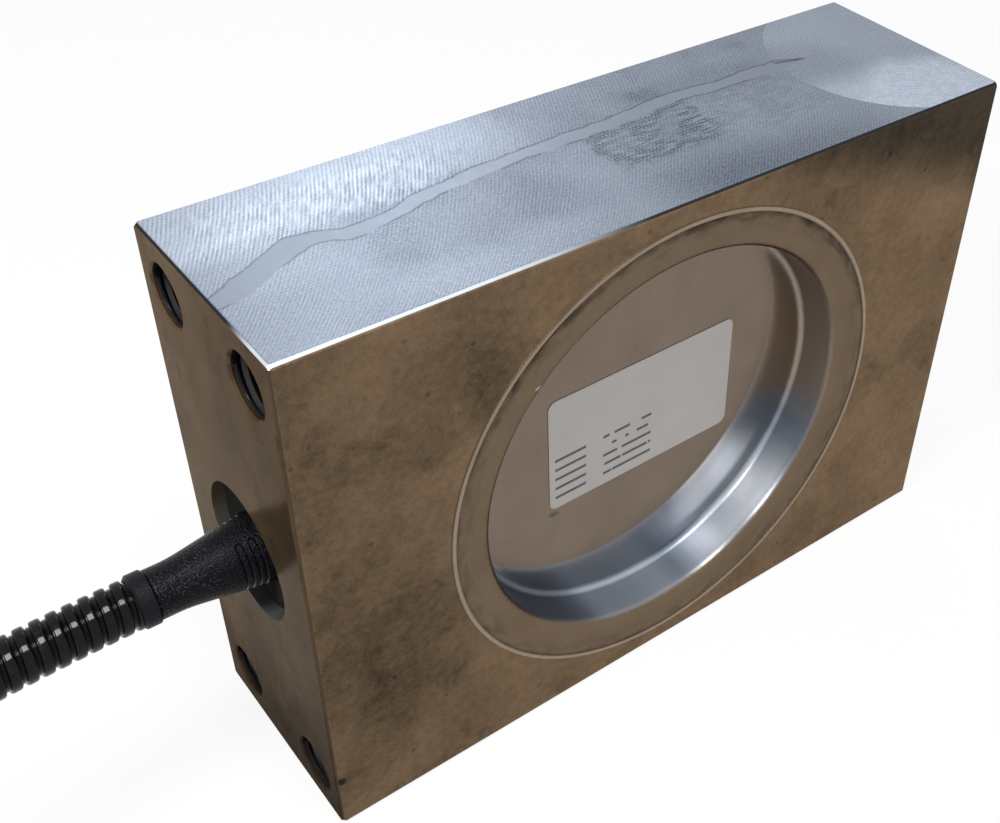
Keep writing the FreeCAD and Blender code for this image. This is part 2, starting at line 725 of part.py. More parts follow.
def tube(route, radius, bends=None):
    """A round tube along straight runs joined by tangent arcs, as large as the runs allow."""
    edges, here = [], route[0]
    for i in range(1, len(route) - 1):
        back, ahead = route[i - 1] - route[i], route[i + 1] - route[i]
        half_turn = (math.pi - back.getAngle(ahead)) / 2
        trim = 0.45 * min(back.Length, ahead.Length)
        if bends:
            trim = bends[i - 1] * math.tan(half_turn)
        arc_radius = trim / math.tan(half_turn)
        enter = route[i] + Vector(back).normalize() * trim
        leave = route[i] + Vector(ahead).normalize() * trim
        inward = (Vector(back).normalize() + Vector(ahead).normalize()).normalize()
        centre = route[i] + inward * (arc_radius / math.cos(half_turn))
        edges.append(Part.LineSegment(here, enter).toShape())
        edges.append(Part.Arc(enter, centre - inward * arc_radius, leave).toShape())
        here = leave
        print(f"bend {i}: radius {arc_radius:.1f}, turn {math.degrees(2 * half_turn):.1f}")
    edges.append(Part.LineSegment(here, route[-1]).toShape())
    path = Part.Wire(edges)
    section = Part.Wire(Part.Circle(route[0], route[1] - route[0], radius).toShape())
    solid = path.makePipeShell([section], True, False)
    expected = math.pi * radius**2 * path.Length
    if abs(solid.Volume / expected - 1) > 0.01:
        raise RuntimeError(f"tube volume {solid.Volume:.0f}, expected {expected:.0f}")
    print(f"tube length {path.Length:.1f}")
    return solid


def cable_hose():
    """The hose from the collar to the coil's stub."""
    hose = doc.addObject("Part::Feature", "cable_hose")
    route = [hose_start(), *(Vector(*point) for point in HOSE_BENDS), coil_places()["stub"]]
    hose.Shape = tube(route, size("hose_radius"))
    return keep(hose, "cable_hose")


def hose_coil():
    """The wound-up hose as one solid: the ring of its turns, the stub that leads in and the tail."""
    places = coil_places()
    radius, hose = size("coil_radius"), size("hose_radius")
    height = places["begin"].z
    axis = Vector(places["middle"].x, places["middle"].y, 0)
    ring = Part.makeCylinder(radius + hose, height, axis).cut(Part.makeCylinder(radius - hose, height, axis))
    rims = [e for e in ring.Edges if isinstance(e.Curve, Part.Circle)]
    ring = ring.makeFillet(size("coil_round"), rims)
    ends = [Part.makeSphere(hose, places["begin"])]
    for start, finish in ((places["stub"], places["begin"]), (places["tail"], places["leave"])):
        ends.append(Part.makeCylinder(hose, (finish - start).Length, start, finish - start))
    coil = doc.addObject("Part::Feature", "hose_coil")
    coil.Shape = ring.fuse(ends).removeSplitter()
    print(f"coil length {radius * math.radians(360 * size('hose_turns')):.0f} of hose, plus its ends")
    return keep(coil, "hose_coil")


def plug_place():
    """The plug's own frame: its X runs out of the hose's end, sloping up to rest on the plug's body."""
    return Placement(coil_places()["tail"], Rotation(Vector(0, 1, 0), -size("plug_slope")))


PLUG_BOOT_START = "Sizes.collar_length"
PLUG_BODY_START = f"{PLUG_BOOT_START} + Sizes.plug_boot_length"
PLUG_BODY_END = f"{PLUG_BODY_START} + Sizes.plug_body_length"
SHELL_START = f"{PLUG_BODY_END} - Sizes.shell_sunk"
SHELL_BORE = "Sizes.shell_radius - Sizes.shell_wall"


def plug_boot():
    """The plug's own strain relief, with three turned grooves."""
    body = new_body("plug_boot")
    profile = sketch_on(body, "plug_boot_profile", "XZ_Plane")
    tip, root, deep = "Sizes.boot_tip_radius", "Sizes.plug_boot_root", "Sizes.plug_groove"
    step = f"({root} - {tip}) / 8"
    corners = [(PLUG_BOOT_START, "0"), (PLUG_BOOT_START, tip)]
    for groove in range(1, 4):
        start = f"{PLUG_BOOT_START} + Sizes.plug_boot_length * {groove} / 4"
        high = f"{tip} + {step} * {2 * groove}"
        corners += [(start, high), (start, f"{high} - {deep}"), (f"{start} + 1", f"{high} - {deep}"),
                    (f"{start} + 1", high)]
    corners += [(PLUG_BODY_START, root), (PLUG_BODY_START, "0")]
    outline(profile, corners)
    turned(body, "Revolution", "plug_boot_turned", profile)
    return body


def plug_body():
    """The moulded grip, fluted all round, with a bore for the metal shell."""
    body = new_body("plug_body")
    profile = sketch_on(body, "plug_body_profile", "XZ_Plane")
    top, edge = "Sizes.plug_body_radius", "Sizes.plug_chamfer"
    outline(profile, [
        (PLUG_BODY_START, "0"), (PLUG_BODY_START, f"{top} - {edge}"), (f"{PLUG_BODY_START} + {edge}", top),
        (f"{PLUG_BODY_END} - {edge}", top), (PLUG_BODY_END, f"{top} - {edge}"),
        (PLUG_BODY_END, "Sizes.shell_radius"), (SHELL_START, "Sizes.shell_radius"), (SHELL_START, "0"),
    ])
    turned(body, "Revolution", "plug_body_turned", profile)
    flute = sketch_on(body, "plug_flute_circle", "YZ_Plane", out=f"{PLUG_BODY_START} + 3")
    circle(flute, "0", f"{top} + Sizes.plug_flute_radius / 2", "Sizes.plug_flute_radius")
    first = extrude(body, "Pocket", "plug_flute", flute, "Sizes.plug_body_length - 6", reverse=True)
    around = body.newObject("PartDesign::PolarPattern", "plug_flutes_round")
    around.Originals = [first]
    around.Axis = (next(p for p in body.Origin.OriginFeatures if p.Role == "X_Axis"), [""])
    around.Angle = 360
    around.setExpression("Occurrences", "Sizes.plug_flutes")
    done(body, around)
    return body


def plug_shell():
    """The metal sleeve round the contacts, with a key slot and a groove for its ring."""
    body = new_body("plug_shell")
    profile = sketch_on(body, "plug_shell_profile", "XZ_Plane")
    end = f"{SHELL_START} + Sizes.shell_length"
    ring_near, ring_far = PLUG_BODY_END, f"{PLUG_BODY_END} + Sizes.ring_section"
    outline(profile, [
        (SHELL_START, SHELL_BORE), (SHELL_START, "Sizes.shell_radius"), (ring_near, "Sizes.shell_radius"),
        (ring_near, "Sizes.shell_radius - Sizes.ring_section / 2"),
        (ring_far, "Sizes.shell_radius - Sizes.ring_section / 2"), (ring_far, "Sizes.shell_radius"),
        (f"{end} - 0.4", "Sizes.shell_radius"), (end, "Sizes.shell_radius - 0.4"), (end, SHELL_BORE),
    ])
    turned(body, "Revolution", "plug_shell_turned", profile)
    slot = sketch_on(body, "plug_key_outline", "XY_Plane")
    rectangle(slot, f"{end} - 5", f"{end} + 1", "-Sizes.shell_key / 2", "Sizes.shell_key / 2")
    extrude(body, "Pocket", "plug_key", slot, reverse=True)
    return body


def plug_ring():
    """The sealing ring in the shell's groove, against the face of the grip."""
    body = new_body("plug_ring")
    profile = sketch_on(body, "plug_ring_profile", "XZ_Plane")
    rectangle(profile, PLUG_BODY_END, f"{PLUG_BODY_END} + Sizes.ring_section",
              "Sizes.shell_radius - Sizes.ring_section / 2", "Sizes.shell_radius + Sizes.ring_section / 3")
    turned(body, "Revolution", "plug_ring_turned", profile)
    return body


def plug_insert():
    """The insulating insert, with four holes for the pins."""
    body = new_body("plug_insert")
    face = sketch_on(body, "plug_insert_circles", "YZ_Plane", out=SHELL_START)
    circle(face, "0", "0", SHELL_BORE)
    extrude(body, "Pad", "plug_insert_disc", face, "Sizes.shell_sunk + 2")
    holes = sketch_on(body, "plug_insert_holes", "YZ_Plane", out=f"{SHELL_START} + Sizes.shell_sunk + 2")
    for y, z in pin_spots():
        circle(holes, y, z, "Sizes.pin_radius")
    extrude(body, "Pocket", "plug_pin_holes", holes, "Sizes.pin_sunk")
    return body


def pin_spots():
    return [("Sizes.pin_circle", "0"), ("-Sizes.pin_circle", "0"), ("0", "Sizes.pin_circle"),
            ("0", "-Sizes.pin_circle")]


def plug_pins():
    """The four round contacts."""
    x = value(f"{SHELL_START} + Sizes.shell_sunk + 2 - Sizes.pin_sunk")
    place = plug_place()
    pins = []
    for y, z in pin_spots():
        at = place.multVec(Vector(x, value(y), value(z)))
        along = place.Rotation.multVec(Vector(1, 0, 0))
        pins.append(cylinder("Sizes.pin_radius", "Sizes.pin_length - 3", at, along))
    return grouped(pins, "plug_pins")


# ---------------------------------------------------------------- assembly


def build_all():
    fill_sheet()
    load_cell_body()
    cover_cup("front_cover_cup")
    cover_cup("rear_cover_cup").Placement = Placement(Vector(), BACK_TO_BACK)
    weld_bead("front_weld_bead")
    weld_bead("rear_weld_bead").Placement = Placement(Vector(), BACK_TO_BACK)
    type_label()
    sensing_beam()
    beam_screws()
    strain_gauges()
    bridge_board()
    board_posts_and_screws()
    board_chip()
    signal_wires()
    gland_body()
    gland_ring()
    cable_seal()
    cable_core()
    strain_relief_boot()
    collar_ring("hose_collar").Placement = Placement(hose_start(), Rotation())
    cable_hose()
    hose_coil()
    for part in (collar_ring("plug_collar"), plug_boot(), plug_body(), plug_shell(), plug_ring(), plug_insert()):
        part.Placement = plug_place()
    plug_pins()
    doc.recompute()


def check_all():
    for item in doc.Objects:
        if {"Invalid", "Error"} & set(item.State):
            raise RuntimeError(f"{item.Name} ({item.Label}) is {item.State}")
    for node in nodes:
        if node.Shape.isNull() or not node.Shape.isValid():
            raise RuntimeError(f"{node.Label} has no valid shape")
        print(f"{node.Label}: {len(node.Shape.Solids)} solids, {node.Shape.Volume:.1f} mm3")


def write_all():
    os.makedirs("parts", exist_ok=True)
    for node in nodes:
        node.Shape.exportStep(f"parts/{node.Label}.step")


build_all()
check_all()
write_all()
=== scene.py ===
"""The looks of a single point load cell: milled and ground steel, welded cups, a rubber boot and a spiral hose.

Everything is in metres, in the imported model's frame: X along the block, Y through its thickness, Z up. The
covers face -Y and +Y, and the hose leaves towards -X. Materials read places in millimetres in that frame.
"""

import math

import bmesh
import bpy
import numpy as np
from mathutils import Matrix, Vector


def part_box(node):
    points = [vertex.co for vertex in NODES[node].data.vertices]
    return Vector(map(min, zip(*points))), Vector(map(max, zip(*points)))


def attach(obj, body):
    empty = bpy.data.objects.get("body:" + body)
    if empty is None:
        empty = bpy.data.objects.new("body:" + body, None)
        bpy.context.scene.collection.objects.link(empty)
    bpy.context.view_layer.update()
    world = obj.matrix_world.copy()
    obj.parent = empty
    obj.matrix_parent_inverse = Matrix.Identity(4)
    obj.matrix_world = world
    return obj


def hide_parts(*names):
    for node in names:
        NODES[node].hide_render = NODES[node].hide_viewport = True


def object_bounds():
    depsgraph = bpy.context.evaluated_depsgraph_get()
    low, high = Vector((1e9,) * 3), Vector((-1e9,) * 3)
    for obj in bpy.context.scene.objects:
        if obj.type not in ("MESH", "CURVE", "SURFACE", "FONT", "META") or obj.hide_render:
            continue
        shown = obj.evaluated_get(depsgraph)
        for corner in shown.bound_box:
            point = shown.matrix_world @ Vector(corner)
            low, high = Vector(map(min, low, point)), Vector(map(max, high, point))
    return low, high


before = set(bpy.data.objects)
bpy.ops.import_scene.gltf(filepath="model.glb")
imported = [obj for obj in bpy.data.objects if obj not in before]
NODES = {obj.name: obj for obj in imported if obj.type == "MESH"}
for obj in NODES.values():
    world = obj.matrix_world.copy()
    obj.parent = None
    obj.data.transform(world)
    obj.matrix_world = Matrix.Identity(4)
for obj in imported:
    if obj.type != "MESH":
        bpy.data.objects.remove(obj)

MM = 0.001
CAD_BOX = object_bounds()
BLOCK_LOW, BLOCK_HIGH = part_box("load_cell_body")
HALF_LENGTH = (BLOCK_HIGH.x - BLOCK_LOW.x) / 2 / MM
HALF_DEPTH = (BLOCK_HIGH.y - BLOCK_LOW.y) / 2 / MM
HALF_HEIGHT = (BLOCK_HIGH.z - BLOCK_LOW.z) / 2 / MM


def add_object(name, data):
    """Adds an object with the given data to the scene."""
    added = bpy.data.objects.new(name, data)
    bpy.context.scene.collection.objects.link(added)
    return added


def mesh_from(bm, name, smooth=True):
    """The bmesh as a mesh, with its normals facing out."""
    bmesh.ops.recalc_face_normals(bm, faces=bm.faces[:])
    for face in bm.faces:
        face.smooth = smooth
    mesh = bpy.data.meshes.new(name)
    bm.to_mesh(mesh)
    bm.free()
    return mesh


# -------- camera and light

# The camera's right, up and back, its place and its lens in millimetres, and its shift in sensor widths, as
# solved from the block's corners and the middles of its holes.
CAMERA_AXES = ((0.77845, -0.62599, 0.04646), (0.37471, 0.52280, 0.76568), (-0.50359, -0.57863, 0.64154))
CAMERA_PLACE = (-144.83, -179.82, 247.01)
SENSOR_WIDTH = 36
LENS = 48.49
SHIFT = (-0.143, -0.0021)

# Each lamp's place and target in metres, its width and height, its power in watts and its colour.
LAMPS = {
    "key": ((-0.5, -0.1, 0.55), (0, 0, 0.06), 0.15, 0.15, 3.0, (1.0, 0.99, 0.97)),
    "top": ((-0.06, -0.25, 0.85), (-0.1, 0, 0.06), 0.16, 0.32, 4.0, (1, 1, 1)),
    "window": ((0.33, 0.74, 0.56), (-0.05, 0, 0.12), 0.26, 0.2, 0.6, (0.96, 0.98, 1.0)),
}
# How strongly the white room lights, and the floor's half size in metres, grey and share of its own light.
ROOM_FILL = 0.42
FLOOR_REACH = 2.0
FLOOR_GREY = 0.82
FLOOR_GLOW = 0.88


def make_camera():
    """The camera stands to the left of the block, in front of it and above it, looking down."""
    camera = add_object("camera", bpy.data.cameras.new("camera"))
    turn = Matrix(CAMERA_AXES).transposed().to_4x4()
    camera.matrix_world = Matrix.Translation(Vector(CAMERA_PLACE) * MM) @ turn
    camera.data.sensor_width = SENSOR_WIDTH
    camera.data.lens = LENS
    camera.data.shift_x, camera.data.shift_y = SHIFT
    camera.data.clip_start = 0.01
    camera.data.clip_end = 10
    bpy.context.scene.camera = camera
    bpy.context.scene.view_settings.view_transform = "Standard"


def seen_directly(tree):
    """1 for the rays that show an image, straight or by mirror or glass, and 0 for those that only light."""
    path = add_node(tree, "LightPath")
    camera, mirror, glass = [Field(tree, path.outputs[f"Is {kind} Ray"])
                             for kind in ("Camera", "Glossy", "Transmission")]
    return camera.math("MAXIMUM", mirror).math("MAXIMUM", glass)


def make_light():
    """A plain white room that fills in less than it shows, and three soft rectangular lamps."""
    world = bpy.data.worlds.new("studio")
    bpy.context.scene.world = world
    world.use_nodes = True
    tree = world.node_tree
    background = tree.nodes["Background"]
    background.inputs["Color"].default_value = (1, 1, 1, 1)
    feed(tree, background.inputs["Strength"], seen_directly(tree) * (1 - ROOM_FILL) + ROOM_FILL)
    for name, (place, target, width, height, power, colour) in LAMPS.items():
        light = bpy.data.lights.new(name, "AREA")
        light.shape = "RECTANGLE"
        light.size, light.size_y = width, height
        light.energy = power
        light.color = colour
        lamp = add_object(name, light)
        lamp.location = place
        lamp.rotation_euler = (Vector(target) - Vector(place)).to_track_quat("-Z", "Y").to_euler()


def make_floor():
    """A pale floor that takes shadows, and looks nearly as white as the room."""
    mesh = bpy.data.meshes.new("floor")
    corners = [(x * FLOOR_REACH, y * FLOOR_REACH, 0) for x, y in ((-1, -1), (1, -1), (1, 1), (-1, 1))]
    mesh.from_pydata(corners, [], [(0, 1, 2, 3)])
    floor = add_object("floor", mesh)
    floor.location.z = CAD_BOX[0].z
    material = bpy.data.materials.new("floor")
    material.use_nodes = True
    tree = material.node_tree
    paint = tree.nodes["Principled BSDF"]
    paint.inputs["Base Color"].default_value = (FLOOR_GREY, FLOOR_GREY, FLOOR_GREY, 1)
    paint.inputs["Roughness"].default_value = 0.9
    glow = add_node(tree, "Emission")
    glowing = seen_directly(tree) * FLOOR_GLOW
    mix = add_node(tree, "MixShader", {"Fac": glowing, 1: paint.outputs[0], 2: glow.outputs[0]})
    tree.links.new(mix.outputs[0], tree.nodes["Material Output"].inputs["Surface"])
    mesh.materials.append(material)


# -------- fields and surfaces

# How far apart two seeds lie in a texture, in blots of noise and in mean distances between specks.
NOISE_STEP = 7.3
SPECK_STEP = 3.1


def tone(red, green, blue):
    """A screen colour from 0 to 255 as a linear one."""
    shares = [channel / 255 for channel in (red, green, blue)]
    return tuple(c / 12.92 if c <= 0.04045 else ((c + 0.055) / 1.055) ** 2.4 for c in shares) + (1.0,)


def feed(tree, entry, value):
    """Sets a node's input to a plain value, or links a field or a socket to it."""
    if isinstance(value, Field):
        value = value.socket
    if isinstance(value, bpy.types.NodeSocket):
        tree.links.new(value, entry)
    else:
        entry.default_value = value


def add_node(tree, kind, values=None, **settings):
    """A shader node with the given settings. values are for its inputs, by name or number."""
    node = tree.nodes.new("ShaderNode" + kind)
    for name, value in settings.items():
        setattr(node, name, value)
    for name, value in (values or {}).items():
        feed(tree, node.inputs[name], value)
    return node


class Field:
    """A number that varies over a surface, as a node socket with arithmetic."""

    def __init__(self, tree, socket):
        self.tree = tree
        self.socket = socket

    def math(self, operation, *others):
        node = add_node(self.tree, "Math", dict(enumerate((self, *others))), operation=operation)
        return Field(self.tree, node.outputs[0])

    def __add__(self, other):
        return self.math("ADD", other)

    def __sub__(self, other):
        return self.math("SUBTRACT", other)

    def __mul__(self, other):
        return self.math("MULTIPLY", other)

    def __truediv__(self, other):
        return self.math("DIVIDE", other)

    def __neg__(self):
        return self.math("MULTIPLY", -1)

    __radd__ = __add__
    __rmul__ = __mul__

    def __rsub__(self, other):
        return -self + other

    def __abs__(self):
        return self.math("ABSOLUTE")

    def sine(self, pitch):
        """A wave of the given pitch, from 0 to 1."""
        return (self * (2 * math.pi / pitch)).math("SINE") * 0.5 + 0.5

    def rise(self, low, high):
        """A smooth step from 0 at low to 1 at high."""
        values = {"Value": self, "From Min": low, "From Max": high}
        node = add_node(self.tree, "MapRange", values, interpolation_type="SMOOTHSTEP")
        return Field(self.tree, node.outputs[0])

    def fall(self, low, high):
        """A smooth step from 1 at low to 0 at high."""
        return 1 - self.rise(low, high)

    def within(self, low, high, soft):
        """1 between low and high, with soft edges."""
        return self.rise(low - soft, low + soft) * self.fall(high - soft, high + soft)

    def between(self, up, down):
        """1 after the step up and before the step down. A step is a pair of places, or None."""
        share = self.rise(*up) if up else 1.0
        return share * self.fall(*down) if down else share

    def through(self, points, low, high):
        """A smooth curve through (place, height) points, with all heights between low and high."""
        first, last = points[0][0], points[-1][0]
        node = add_node(self.tree, "FloatCurve", {"Value": (self - first) / (last - first)})
        curve = node.mapping.curves[0]
        shares = [((x - first) / (last - first), (y - low) / (high - low)) for x, y in points]
        curve.points[0].location, curve.points[1].location = shares[0], shares[-1]
        for share in shares[1:-1]:
            curve.points.new(*share)
        node.mapping.update()
        return Field(self.tree, node.outputs[0]) * (high - low) + low


def distance(a, b):
    """How far a place is from 0, from its two coordinates as fields."""
    return (a * a + b * b).math("SQRT")


def patches(along, other, push, rows):
    """The sum of soft patches. A row holds a patch's steps up and down along the first direction, the same
    along the second one, how far push moves its edges along each, and how much lighter it is."""
    total = 0
    for up, down, other_up, other_down, drift, other_drift, lighter in rows:
        share = (along + push * drift).between(up, down)
        total = total + share * (other + push * other_drift).between(other_up, other_down) * lighter
    return total


class Surface:
    """A procedural material. x, y and z are the place in millimetres, and facing is the normal's parts."""

    def __init__(self, name, metallic=0.0, gloss=0.5, edge=(1, 1, 1, 1), anisotropic=0.0):
        self.material = bpy.data.materials.new(name)
        self.material.use_nodes = True
        self.tree = self.material.node_tree
        self.paint = self.tree.nodes["Principled BSDF"]
        for entry, value in (("Metallic", metallic), ("Specular IOR Level", gloss), ("Specular Tint", edge),
                             ("Anisotropic", anisotropic)):
            self.paint.inputs[entry].default_value = value
        coordinates = add_node(self.tree, "TexCoord")
        scaled = {0: coordinates.outputs["Object"], "Scale": 1 / MM}
        self.place = add_node(self.tree, "VectorMath", scaled, operation="SCALE").outputs[0]
        self.x, self.y, self.z = self.parts(self.place)
        self.facing = self.parts(coordinates.outputs["Normal"])
        self.height = None

    def parts(self, socket):
        node = add_node(self.tree, "SeparateXYZ", {0: socket})
        return [Field(self.tree, output) for output in node.outputs]

    def at(self, x, y, z):
        """A place for textures, from three fields."""
        return add_node(self.tree, "CombineXYZ", {0: x, 1: y, 2: z}).outputs[0]

    def texture(self, kind, size, stretch, shift, place, **details):
        """A texture whose blots have the given size in millimetres, moved by shift blots."""
        moved = {0: place or self.place, 1: [s / size for s in stretch], 2: shift}
        move = add_node(self.tree, "VectorMath", moved, operation="MULTIPLY_ADD")
        return add_node(self.tree, kind, {"Vector": move.outputs[0], "Scale": 1, **details})

    def noise(self, size, detail=2.0, seed=0, place=None, stretch=(1, 1, 1)):
        """Cloudy noise from 0 to 1, about 0.5 on average."""
        node = self.texture("TexNoise", size, stretch, (seed * NOISE_STEP, seed, 0), place, Detail=detail)
        return Field(self.tree, node.outputs[0])

    def specks(self, size, share, seed=0, stretch=(1, 1, 1)):
        """1 in small spots scattered at the given mean distance, and 0 between them."""
        node = self.texture("TexVoronoi", size, stretch, (seed * SPECK_STEP, seed, 0), None)
        return Field(self.tree, node.outputs["Distance"]).fall(share * 0.6, share)

    def mix(self, first, second, share):
        """A colour between two colours, each a screen colour or a socket."""
        first, second = [tone(*c) if isinstance(c, tuple) else c for c in (first, second)]
        return add_node(self.tree, "Mix", {"Factor": share, 6: first, 7: second}, data_type="RGBA").outputs[2]

    def emboss(self, height, depth):
        """Adds relief: height is a field from 0 to 1, and depth is what it stands for in millimetres."""
        bump = add_node(self.tree, "Bump", {"Strength": 1, "Distance": depth * MM, "Height": height})
        if self.height is not None:
            self.tree.links.new(self.height, bump.inputs["Normal"])
        self.height = bump.outputs[0]
        self.tree.links.new(self.height, self.paint.inputs["Normal"])

    def finish(self, colour, roughness):
        """Puts the colour and the roughness, each a plain value, a field or a socket, on the shader."""
        feed(self.tree, self.paint.inputs["Base Color"], colour)
        feed(self.tree, self.paint.inputs["Roughness"], roughness)
        return self.material


# -------- the hose

# The bends between boot and coil are in millimetres. The coil's run is the way from the last of them to its
# first turn, and the tail is the hose from its last turn to the plug.
HOSE_RADIUS = 5.0 * MM
HOSE_PITCH = 2.87 * MM
HOSE_BENDS = [(-138.0, 0.0, 60.0), (-168.5, -5.0, 58.0)]
COIL_RUN = 54.0 * MM
COIL_RADIUS = 58.0 * MM
COIL_TURNS = 4.547
COIL_HEADING = math.radians(17)
COIL_TAIL = 36.0 * MM
TAIL_BEND = 0.3
TAIL_SLOPE = math.radians(2.7)
POINTS_PER_TURN = 24
SPLINE_SAMPLES = 40

# The ridge's share of a pitch, the power that squares its crown, the valley's depth, and the height of the
# small ridge in the valley as a share of that depth.
RIDGE_SHARE = 0.76
RIDGE_SQUARENESS = 6
VALLEY_DEPTH = 0.95 * MM
VALLEY_RIDGE = 0.3

# The turns next to the boot, which the camera sees, are finer: points round the hose and over one pitch.
FINE_TURNS = 24
FINE_POINTS = (56, 24)
PLAIN_POINTS = (12, 6)
STRIP_WELD = 1e-6


def hose_route():
    """The hose's control points: the given bends, the coil's turns and the tail to the plug."""
    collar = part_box("hose_collar")
    start = Vector((collar[0].x, 0, (collar[0].z + collar[1].z) / 2))
    bends = [Vector(point) * MM for point in HOSE_BENDS]
    heading = Vector((-math.cos(COIL_HEADING), -math.sin(COIL_HEADING), 0))
    inward = Vector((-math.sin(COIL_HEADING), math.cos(COIL_HEADING), 0))
    begin = bends[-1] + heading * COIL_RUN
    middle = begin + inward * COIL_RADIUS
    top = HOSE_RADIUS * (1 + 2 * COIL_TURNS)
    steps = round(COIL_TURNS * POINTS_PER_TURN)
    half_step = math.pi * COIL_TURNS / steps
    # A quadratic spline runs inside its control points, so they lie this much further out than the coil.
    reach = COIL_RADIUS / (0.75 + 0.25 * math.cos(2 * half_step))
    begin_angle = math.atan2(-inward.y, -inward.x)
    turns = []
    for i in range(1, steps):
        share = i / steps
        angle = begin_angle - 2 * math.pi * COIL_TURNS * share
        height = top + (HOSE_RADIUS - top) * share
        turns.append(Vector((middle.x + reach * math.cos(angle), middle.y + reach * math.sin(angle), height)))
    leave = Vector((middle.x, middle.y + COIL_RADIUS, HOSE_RADIUS))
    slope = Vector((math.cos(TAIL_SLOPE), 0, math.sin(TAIL_SLOPE)))
    return [start, *bends, *turns, leave + slope * COIL_TAIL * TAIL_BEND, leave + slope * COIL_TAIL]


def route_line(route):
    """Points along the quadratic spline whose control points are the route."""
    curve = bpy.data.curves.new("hose_route", "CURVE")
    curve.dimensions = "3D"
    curve.resolution_u = SPLINE_SAMPLES
    spline = curve.splines.new("NURBS")
    spline.points.add(len(route) - 1)
    for point, place in zip(spline.points, route):
        point.co = (*place, 1)
    spline.order_u = 3
    spline.use_endpoint_u = True
    holder = add_object("hose_route", curve)
    mesh = bpy.data.meshes.new_from_object(holder)
    line = np.array([vertex.co[:] for vertex in mesh.vertices])
    bpy.data.objects.remove(holder)
    bpy.data.meshes.remove(mesh)
    return line


class Line:
    """A polyline with a frame that doesn't twist, read by distance along it."""

    def __init__(self, points):
        self.points = points
        steps = np.diff(points, axis=0)
        self.lengths = np.concatenate([[0], np.cumsum(np.linalg.norm(steps, axis=1))])
        self.total = self.lengths[-1]
        tangents = np.gradient(points, axis=0)
        self.tangents = tangents / np.linalg.norm(tangents, axis=1)[:, None]
        side = np.cross(self.tangents[0], [0, 0, 1.0])
        sides = []
        for tangent in self.tangents:
            side = side - tangent * (side @ tangent)
            side = side / np.linalg.norm(side)
            sides.append(side)
        self.sides = np.array(sides)

    def at(self, distances):
        """Places, sides and ups at an array of distances."""
        parts = []
        for rows in (self.points, self.tangents, self.sides):
            parts.append(np.stack([np.interp(distances, self.lengths, rows[:, k]) for k in range(3)], axis=-1))
        place, tangent, side = parts
        tangent = tangent / np.linalg.norm(tangent, axis=-1, keepdims=True)
        side = side / np.linalg.norm(side, axis=-1, keepdims=True)
        return place, side, np.cross(side, tangent)


def ridge_profile(points):
    """The spiral's section over one pitch, as pairs of share of the pitch and radius: a rounded band of
    jacket, then a narrow valley with a small ridge in it."""
    section = []
    for i in range(points):
        share = i / points
        across = (share / RIDGE_SHARE) * 2 - 1
        if abs(across) < 1:
            height = (1 - abs(across) ** RIDGE_SQUARENESS) ** 0.5
        else:
            height = VALLEY_RIDGE * math.sin(math.pi * (share - RIDGE_SHARE) / (1 - RIDGE_SHARE))
        section.append((share, HOSE_RADIUS - VALLEY_DEPTH + VALLEY_DEPTH * height))
    return section


def spiral_strip(line, first, last, around, profile):
    """A spiral hose from one distance to another as (vertices, faces). Each row of the strip is one continuous
    helix. Rows are pressed flat past either end, and the faces that are pressed whole are left out."""
    shares = np.array([share for share, _ in profile])
    radii = np.array([radius for _, radius in profile])
    rows = len(profile)
    columns = int(math.ceil((last - first) / HOSE_PITCH + 1) * around)
    turn = (np.arange(columns) - around) / around
    along = np.clip(first + (turn[:, None] + shares[None, :]) * HOSE_PITCH, first, last)
    angle = np.broadcast_to(turn[:, None] * 2 * np.pi, along.shape)
    place, side, up = line.at(along)
    radius = np.broadcast_to(radii, along.shape)[..., None]
    spots = place + radius * (side * np.cos(angle)[..., None] + up * np.sin(angle)[..., None])
    pressed = ((along <= first) | (along >= last)).reshape(-1)
    faces = []
    for column in range(columns - 1):
        here, ahead = column * rows, (column + 1) * rows
        for row in range(rows - 1):
            faces.append((here + row, here + row + 1, ahead + row + 1, ahead + row))
        over, over_ahead = (column + around) * rows, (column + around + 1) * rows
        if column + around + 1 < columns:
            faces.append((here + rows - 1, over, over_ahead, ahead + rows - 1))
    return spots.reshape(-1, 3), [face for face in faces if not all(pressed[i] for i in face)]


def closed_strip(spots, faces):
    """The strip as a closed mesh: points that meet are welded, and both mouths are filled."""
    bm = bmesh.new()
    made = [bm.verts.new(spot) for spot in spots]
    for face in faces:
        bm.faces.new([made[i] for i in face])
    bmesh.ops.remove_doubles(bm, verts=bm.verts[:], dist=STRIP_WELD)
    bmesh.ops.dissolve_degenerate(bm, edges=bm.edges[:], dist=STRIP_WELD)
    bmesh.ops.delete(bm, geom=[vert for vert in bm.verts if not vert.link_faces], context="VERTS")
    bmesh.ops.holes_fill(bm, edges=[edge for edge in bm.edges if edge.is_boundary], sides=0)
    return mesh_from(bm, "strip")


def make_hose():
    """The hose in two closed strips that meet on a whole turn, as one piece."""
    line = Line(route_line(hose_route()))
    near_end = FINE_TURNS * HOSE_PITCH
    whole = bmesh.new()
    strips = ((0.0, near_end, FINE_POINTS), (near_end, line.total, PLAIN_POINTS))
    for first, last, (around, over_pitch) in strips:
        strip = closed_strip(*spiral_strip(line, first, last, around, ridge_profile(over_pitch)))
        whole.from_mesh(strip)
        bpy.data.meshes.remove(strip)
    mesh = bpy.data.meshes.new("spiral_hose")
    whole.to_mesh(mesh)
    whole.free()
    hose = add_object("spiral_hose", mesh)
    mesh.materials.append(hose_material())
    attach(hose, "root")
    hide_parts("cable_hose", "hose_coil")


# -------- the block's steel

